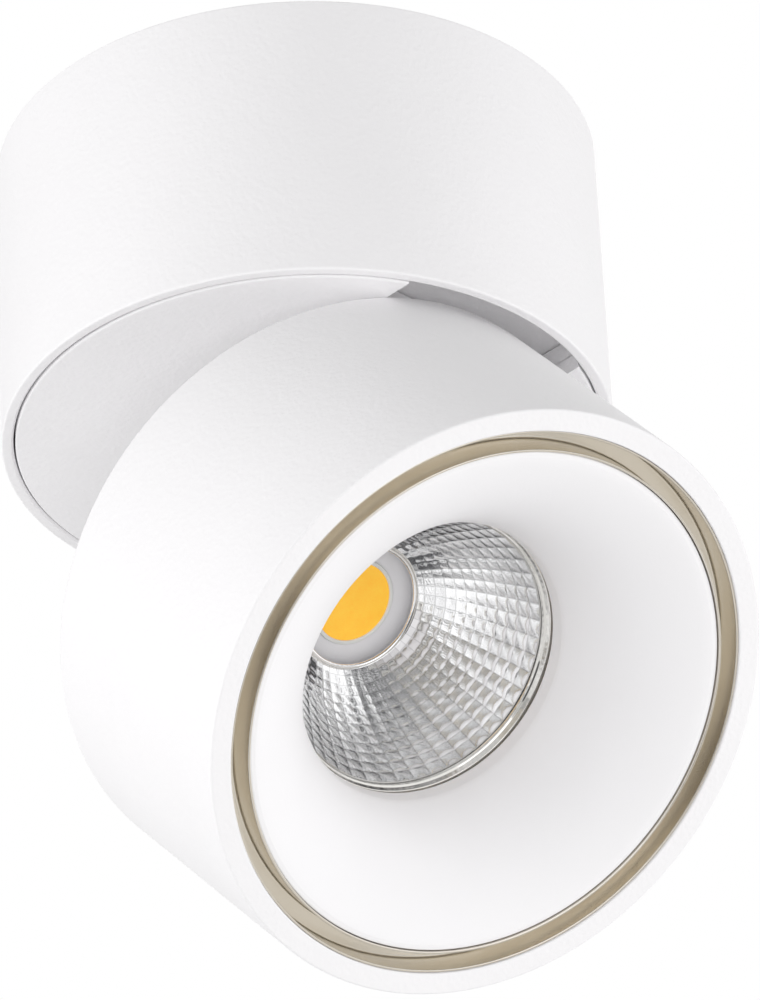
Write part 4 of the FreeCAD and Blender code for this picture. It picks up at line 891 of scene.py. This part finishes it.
def discSolid(name, radius, top, bottom, crown, edge):
    # Round disc in the head's frame; its lower face is crowned by crown * (1 - (r / radius) squared).
    segments = lamp["segments"]
    r = np.linspace(0, 1, lamp["rings"])[::-1]
    lower = np.column_stack([r * (radius - edge), -bottom - crown * (1 - r ** 2)])
    side = np.array([(0.0, -top), (radius, -top), (radius, -bottom + edge)])
    profile = np.vstack([side, lower])
    angle = np.linspace(0, 2 * math.pi, segments, endpoint=False)
    rows = profile[1:-1]
    points = np.stack([np.outer(np.cos(angle), rows[:, 0]), np.outer(np.sin(angle), rows[:, 0]),
                       np.outer(np.ones(segments), rows[:, 1])], -1).reshape(-1, 3)
    poles = np.array([[0, 0, profile[0, 1]], [0, 0, profile[-1, 1]]])
    faces = gridFaces(segments, len(rows), True, False)[:, ::-1].tolist()
    top_, low = len(points), len(points) + 1
    i = np.arange(segments)
    j = (i + 1) % segments
    first, last = i * len(rows), i * len(rows) + len(rows) - 1
    faces += np.stack([np.full(segments, top_), first, first[j]], -1).tolist()
    faces += np.stack([np.full(segments, low), last[j], last], -1).tolist()
    return meshObject(name, hangHead(np.vstack([points, poles])), faces)


def lightSource():
    # Flat board, crowned amber disc on it, and the rounded ring that holds the amber in.
    l = lamp
    board_ = discSolid("lampBoard", l["boardRadius"], l["boardTop"], l["boardFace"], 0.0, l["boardEdge"])
    place(board_, "head", ceramic, "board_ceramic", "cob_board")
    spotFace = l["boardFace"] + l["spotHeight"]
    spot = discSolid("amberSpot", l["spotRadius"], l["boardFace"], spotFace, l["spotCrown"], l["spotEdge"])
    place(spot, "head", amber, "phosphor", "phosphor_disc")
    face, low = -l["boardFace"], -l["boardFace"] - l["damHeight"]
    profile = softCorners([
        (l["spotRadius"], face, 0), (l["damOuter"], face, 0), (l["damOuter"], low, l["damRound"]),
        (l["spotRadius"], low, l["damRound"]),
    ], 6)
    dam = turnedSolid("damRing", profile, l["segments"], hangHead)
    place(dam, "head", damSilicone, "white_silicone", "led_dam")


headShell()
trimChannel()
baffleCone()
bafflePosts()
facetBowl()
throatBead()
collarRing()
lightSource()
print("head made")


# Solids kept from the frame, with their edges rounded: material, slot and width of the rounding.
softSolids = {
    "ceiling_bracket": (zinc, "zinc_steel", 0.15), "cable_grommet": (blackRubber, "black_rubber", 0.3),
    "earth_washer": (zinc, "zinc_steel", 0.1), "earth_screw": (brass, "brass", 0.12),
    "locking_screw": (dark, "dark_steel", 0.1), "driver_case": (whitePlastic, "white_plastic", 0.4),
    "driver_cover": (whitePlastic, "white_plastic", 0.3), "driver_board": (board, "circuit_board", 0.05),
    "driver_transformer": (yellowTape, "yellow_tape", 0.8),
    "driver_capacitor": (blackSleeve, "capacitor_sleeve", 0.5),
    "driver_screws": (zinc, "zinc_steel", 0.12), "terminal_block": (greyPlastic, "grey_plastic", 0.4),
    "terminal_clamps": (brass, "brass", 0.15), "terminal_screws": (zinc, "zinc_steel", 0.12),
    "terminal_fixing_screws": (zinc, "zinc_steel", 0.12), "swivel_stud": (zinc, "zinc_steel", 0.15),
    "stud_screws": (zinc, "zinc_steel", 0.08), "thrust_washer": (greyPlastic, "grey_plastic", 0.08),
    "friction_washer": (greyPlastic, "grey_plastic", 0.08), "wave_spring": (zinc, "zinc_steel", 0.08),
    "lock_nut": (zinc, "zinc_steel", 0.25), "stop_pin": (zinc, "zinc_steel", 0.15),
    "hinge_bracket": (white, "white_coat", 0.2), "bracket_screws": (zinc, "zinc_steel", 0.1),
    "rear_cover": (white, "white_coat", 0.15), "rear_cover_screws": (zinc, "zinc_steel", 0.12),
    "lead_grommet": (blackRubber, "black_rubber", 0.2), "hinge_pin": (zinc, "zinc_steel", 0.12),
    "hinge_nut": (zinc, "zinc_steel", 0.12), "hinge_washers": (greyPlastic, "grey_plastic", 0.06),
    "heat_sink": (castMetal, "bare_aluminium", 0.15), "thermal_pad": (greySilicone, "grey_silicone", 0.03),
    "cob_holder": (whitePlastic, "white_plastic", 0.25), "holder_screws": (zinc, "zinc_steel", 0.12),
    "baffle_screws": (zinc, "zinc_steel", 0.12),
}

for node, (material, slotName, width) in softSolids.items():
    place(softCopy(node, width), nodes[node]["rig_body"], material, slotName, node)
print("small solids rounded")


studio = {
    "floorHeight": -2.4, "floorSize": 14.0, "floorColour": (0.92, 0.92, 0.92), "floorRough": 0.7,
    "world": 0.55, "centre": (0.0, -0.012, -0.075),       # lengths here in metres
    "lamps": [
        # azimuth, elevation, distance, size, power: where the lamp stands as seen from the object
        (150, -10, 1.7, 1.4, 14.0),
        (225, -33, 1.7, 0.7, 8.0),
        (315, -10, 1.7, 1.4, 13.2),
        (45, -45, 1.7, 1.4, 3.4),
    ],
    "cards": [
        # azimuth, elevation, distance, width, height, colour: boards that only bright metal shows
        (324, -44, 1.5, 0.9, 1.25, (0.68, 0.645, 0.585)),
        (256, -28, 1.5, 1.7, 0.7, (1.5, 1.5, 1.5)),
        (215, -80, 1.6, 1.5, 1.5, (0.8, 0.8, 0.8)),
        (258, -61, 1.5, 1.9, 0.55, (0.12, 0.12, 0.125)),
        (232, -6, 1.5, 0.5, 0.5, (0.08, 0.08, 0.085)),
    ],
}


def makeWorld():
    # Even soft light on the object. The camera, and whatever is mirrored or seen through glass, get
    # plain white.
    world = bpy.data.worlds.new("studio")
    bpy.context.scene.world = world
    world.use_nodes = True
    graph = Graph(world.node_tree, "ShaderNodeOutputWorld")
    direct = graph.node("LightPath", out="Is Camera Ray")
    seen = (direct + direct.also("Is Glossy Ray") + direct.also("Is Transmission Ray")).atMost(1.0)
    ambient = graph.node("Background", {}, {"Color": (1.0, 1.0, 1.0), "Strength": studio["world"]})
    shown = graph.node("Background", {}, {"Color": (1.0, 1.0, 1.0), "Strength": 1.0})
    graph.show(graph.mixShader(seen, ambient, shown))


def makeFloor():
    # One square, opaque from above and clear from below, so that the light can be looked at from there too.
    half, height = studio["floorSize"] / 2 / unit, studio["floorHeight"] / unit
    points = np.array([(-half, -half, height), (half, -half, height),
                       (half, half, height), (-half, half, height)])
    floor = meshObject("studioFloor", points, np.array([[0, 1, 2, 3]]))
    finish = Finish("pale floor")
    finish.set(colour=studio["floorColour"], roughness=studio["floorRough"])
    fromBelow = finish.node("NewGeometry", out="Backfacing")
    finish.show(finish.mixShader(fromBelow, finish.shader, finish.node("BsdfTransparent")))
    floor.data.materials.append(finish.material)


def awayFrom(azimuth, elevation):
    # Unit vector from the object, with the azimuth counted from +X towards +Y.
    a, e = math.radians(azimuth), math.radians(elevation)
    return np.array([math.cos(a) * math.cos(e), math.sin(a) * math.cos(e), math.sin(e)])


def makeCards():
    # Flat boards that face the object. Only what mirrors shows them, and they cast no shadow.
    for number, (azimuth, elevation, distance, width, height, colour) in enumerate(studio["cards"]):
        away = awayFrom(azimuth, elevation)
        side = np.cross(away, (0, 0, 1))
        side /= np.linalg.norm(side)
        rise = np.cross(side, away)
        middle = np.array(studio["centre"]) + away * distance
        side, rise = side * width / 2, rise * height / 2
        corners = np.array([middle - side - rise, middle + side - rise,
                            middle + side + rise, middle - side + rise])
        card = meshObject(f"studioCard{number}", corners / unit, np.array([[0, 1, 2, 3]]))
        finish = Finish(f"card {number}")
        finish.set(colour=(0.0, 0.0, 0.0), level=0.0, glow=1.0, glowColour=colour)
        card.data.materials.append(finish.material)
        card.visible_camera = card.visible_diffuse = card.visible_shadow = False


def makeLamps():
    # Round soft boxes that face the object. Bright metal doesn't show them.
    centre = np.array(studio["centre"])
    for number, (azimuth, elevation, distance, size, power) in enumerate(studio["lamps"]):
        away = awayFrom(azimuth, elevation)
        data = bpy.data.lights.new(f"softbox{number}", "AREA")
        data.shape = "DISK"
        data.size = size
        data.energy = power
        item = bpy.data.objects.new(f"softbox{number}", data)
        bpy.context.scene.collection.objects.link(item)
        item.location = centre + away * distance
        item.visible_glossy = False
        item.rotation_mode = "QUATERNION"
        item.rotation_quaternion = item.location.__class__(away).to_track_quat("Z", "Y")


view = {
    "place": (-1169.97, -1175.35, -1117.98), "heading": 45.26, "pitch": 32.41, "roll": 2.745,
    "focal": 12075.3, "pictureHeight": 1000.0, "sensor": 36.0, "clip": (0.05, 50.0),
}                                                         # place in millimetres, focal length in pixels


def makeCamera():
    # The camera looks along the heading and upwards by the pitch, then rolls about that line.
    h, p, r = (math.radians(view[k]) for k in ("heading", "pitch", "roll"))
    forward = np.array([math.sin(h) * math.cos(p), math.cos(h) * math.cos(p), math.sin(p)])
    right = np.array([math.cos(h), -math.sin(h), 0.0])
    down = np.cross(forward, right)
    right2 = math.cos(r) * right + math.sin(r) * down
    down2 = -math.sin(r) * right + math.cos(r) * down
    data = bpy.data.cameras.new("camera")
    data.sensor_width = view["sensor"]
    data.lens = view["focal"] * view["sensor"] / view["pictureHeight"]
    data.clip_start, data.clip_end = view["clip"]
    item = bpy.data.objects.new("camera", data)
    bpy.context.scene.collection.objects.link(item)
    matrix = np.eye(4)
    matrix[:3, :3] = np.column_stack([right2, -down2, -forward])
    matrix[:3, 3] = np.array(view["place"]) * unit
    item.matrix_world = matrix.T.tolist()         # a matrix is given column by column
    bpy.context.scene.camera = item


makeWorld()
makeFloor()
makeCards()
makeLamps()
makeCamera()
bpy.context.scene.view_settings.view_transform = "Standard"
print("studio ready")
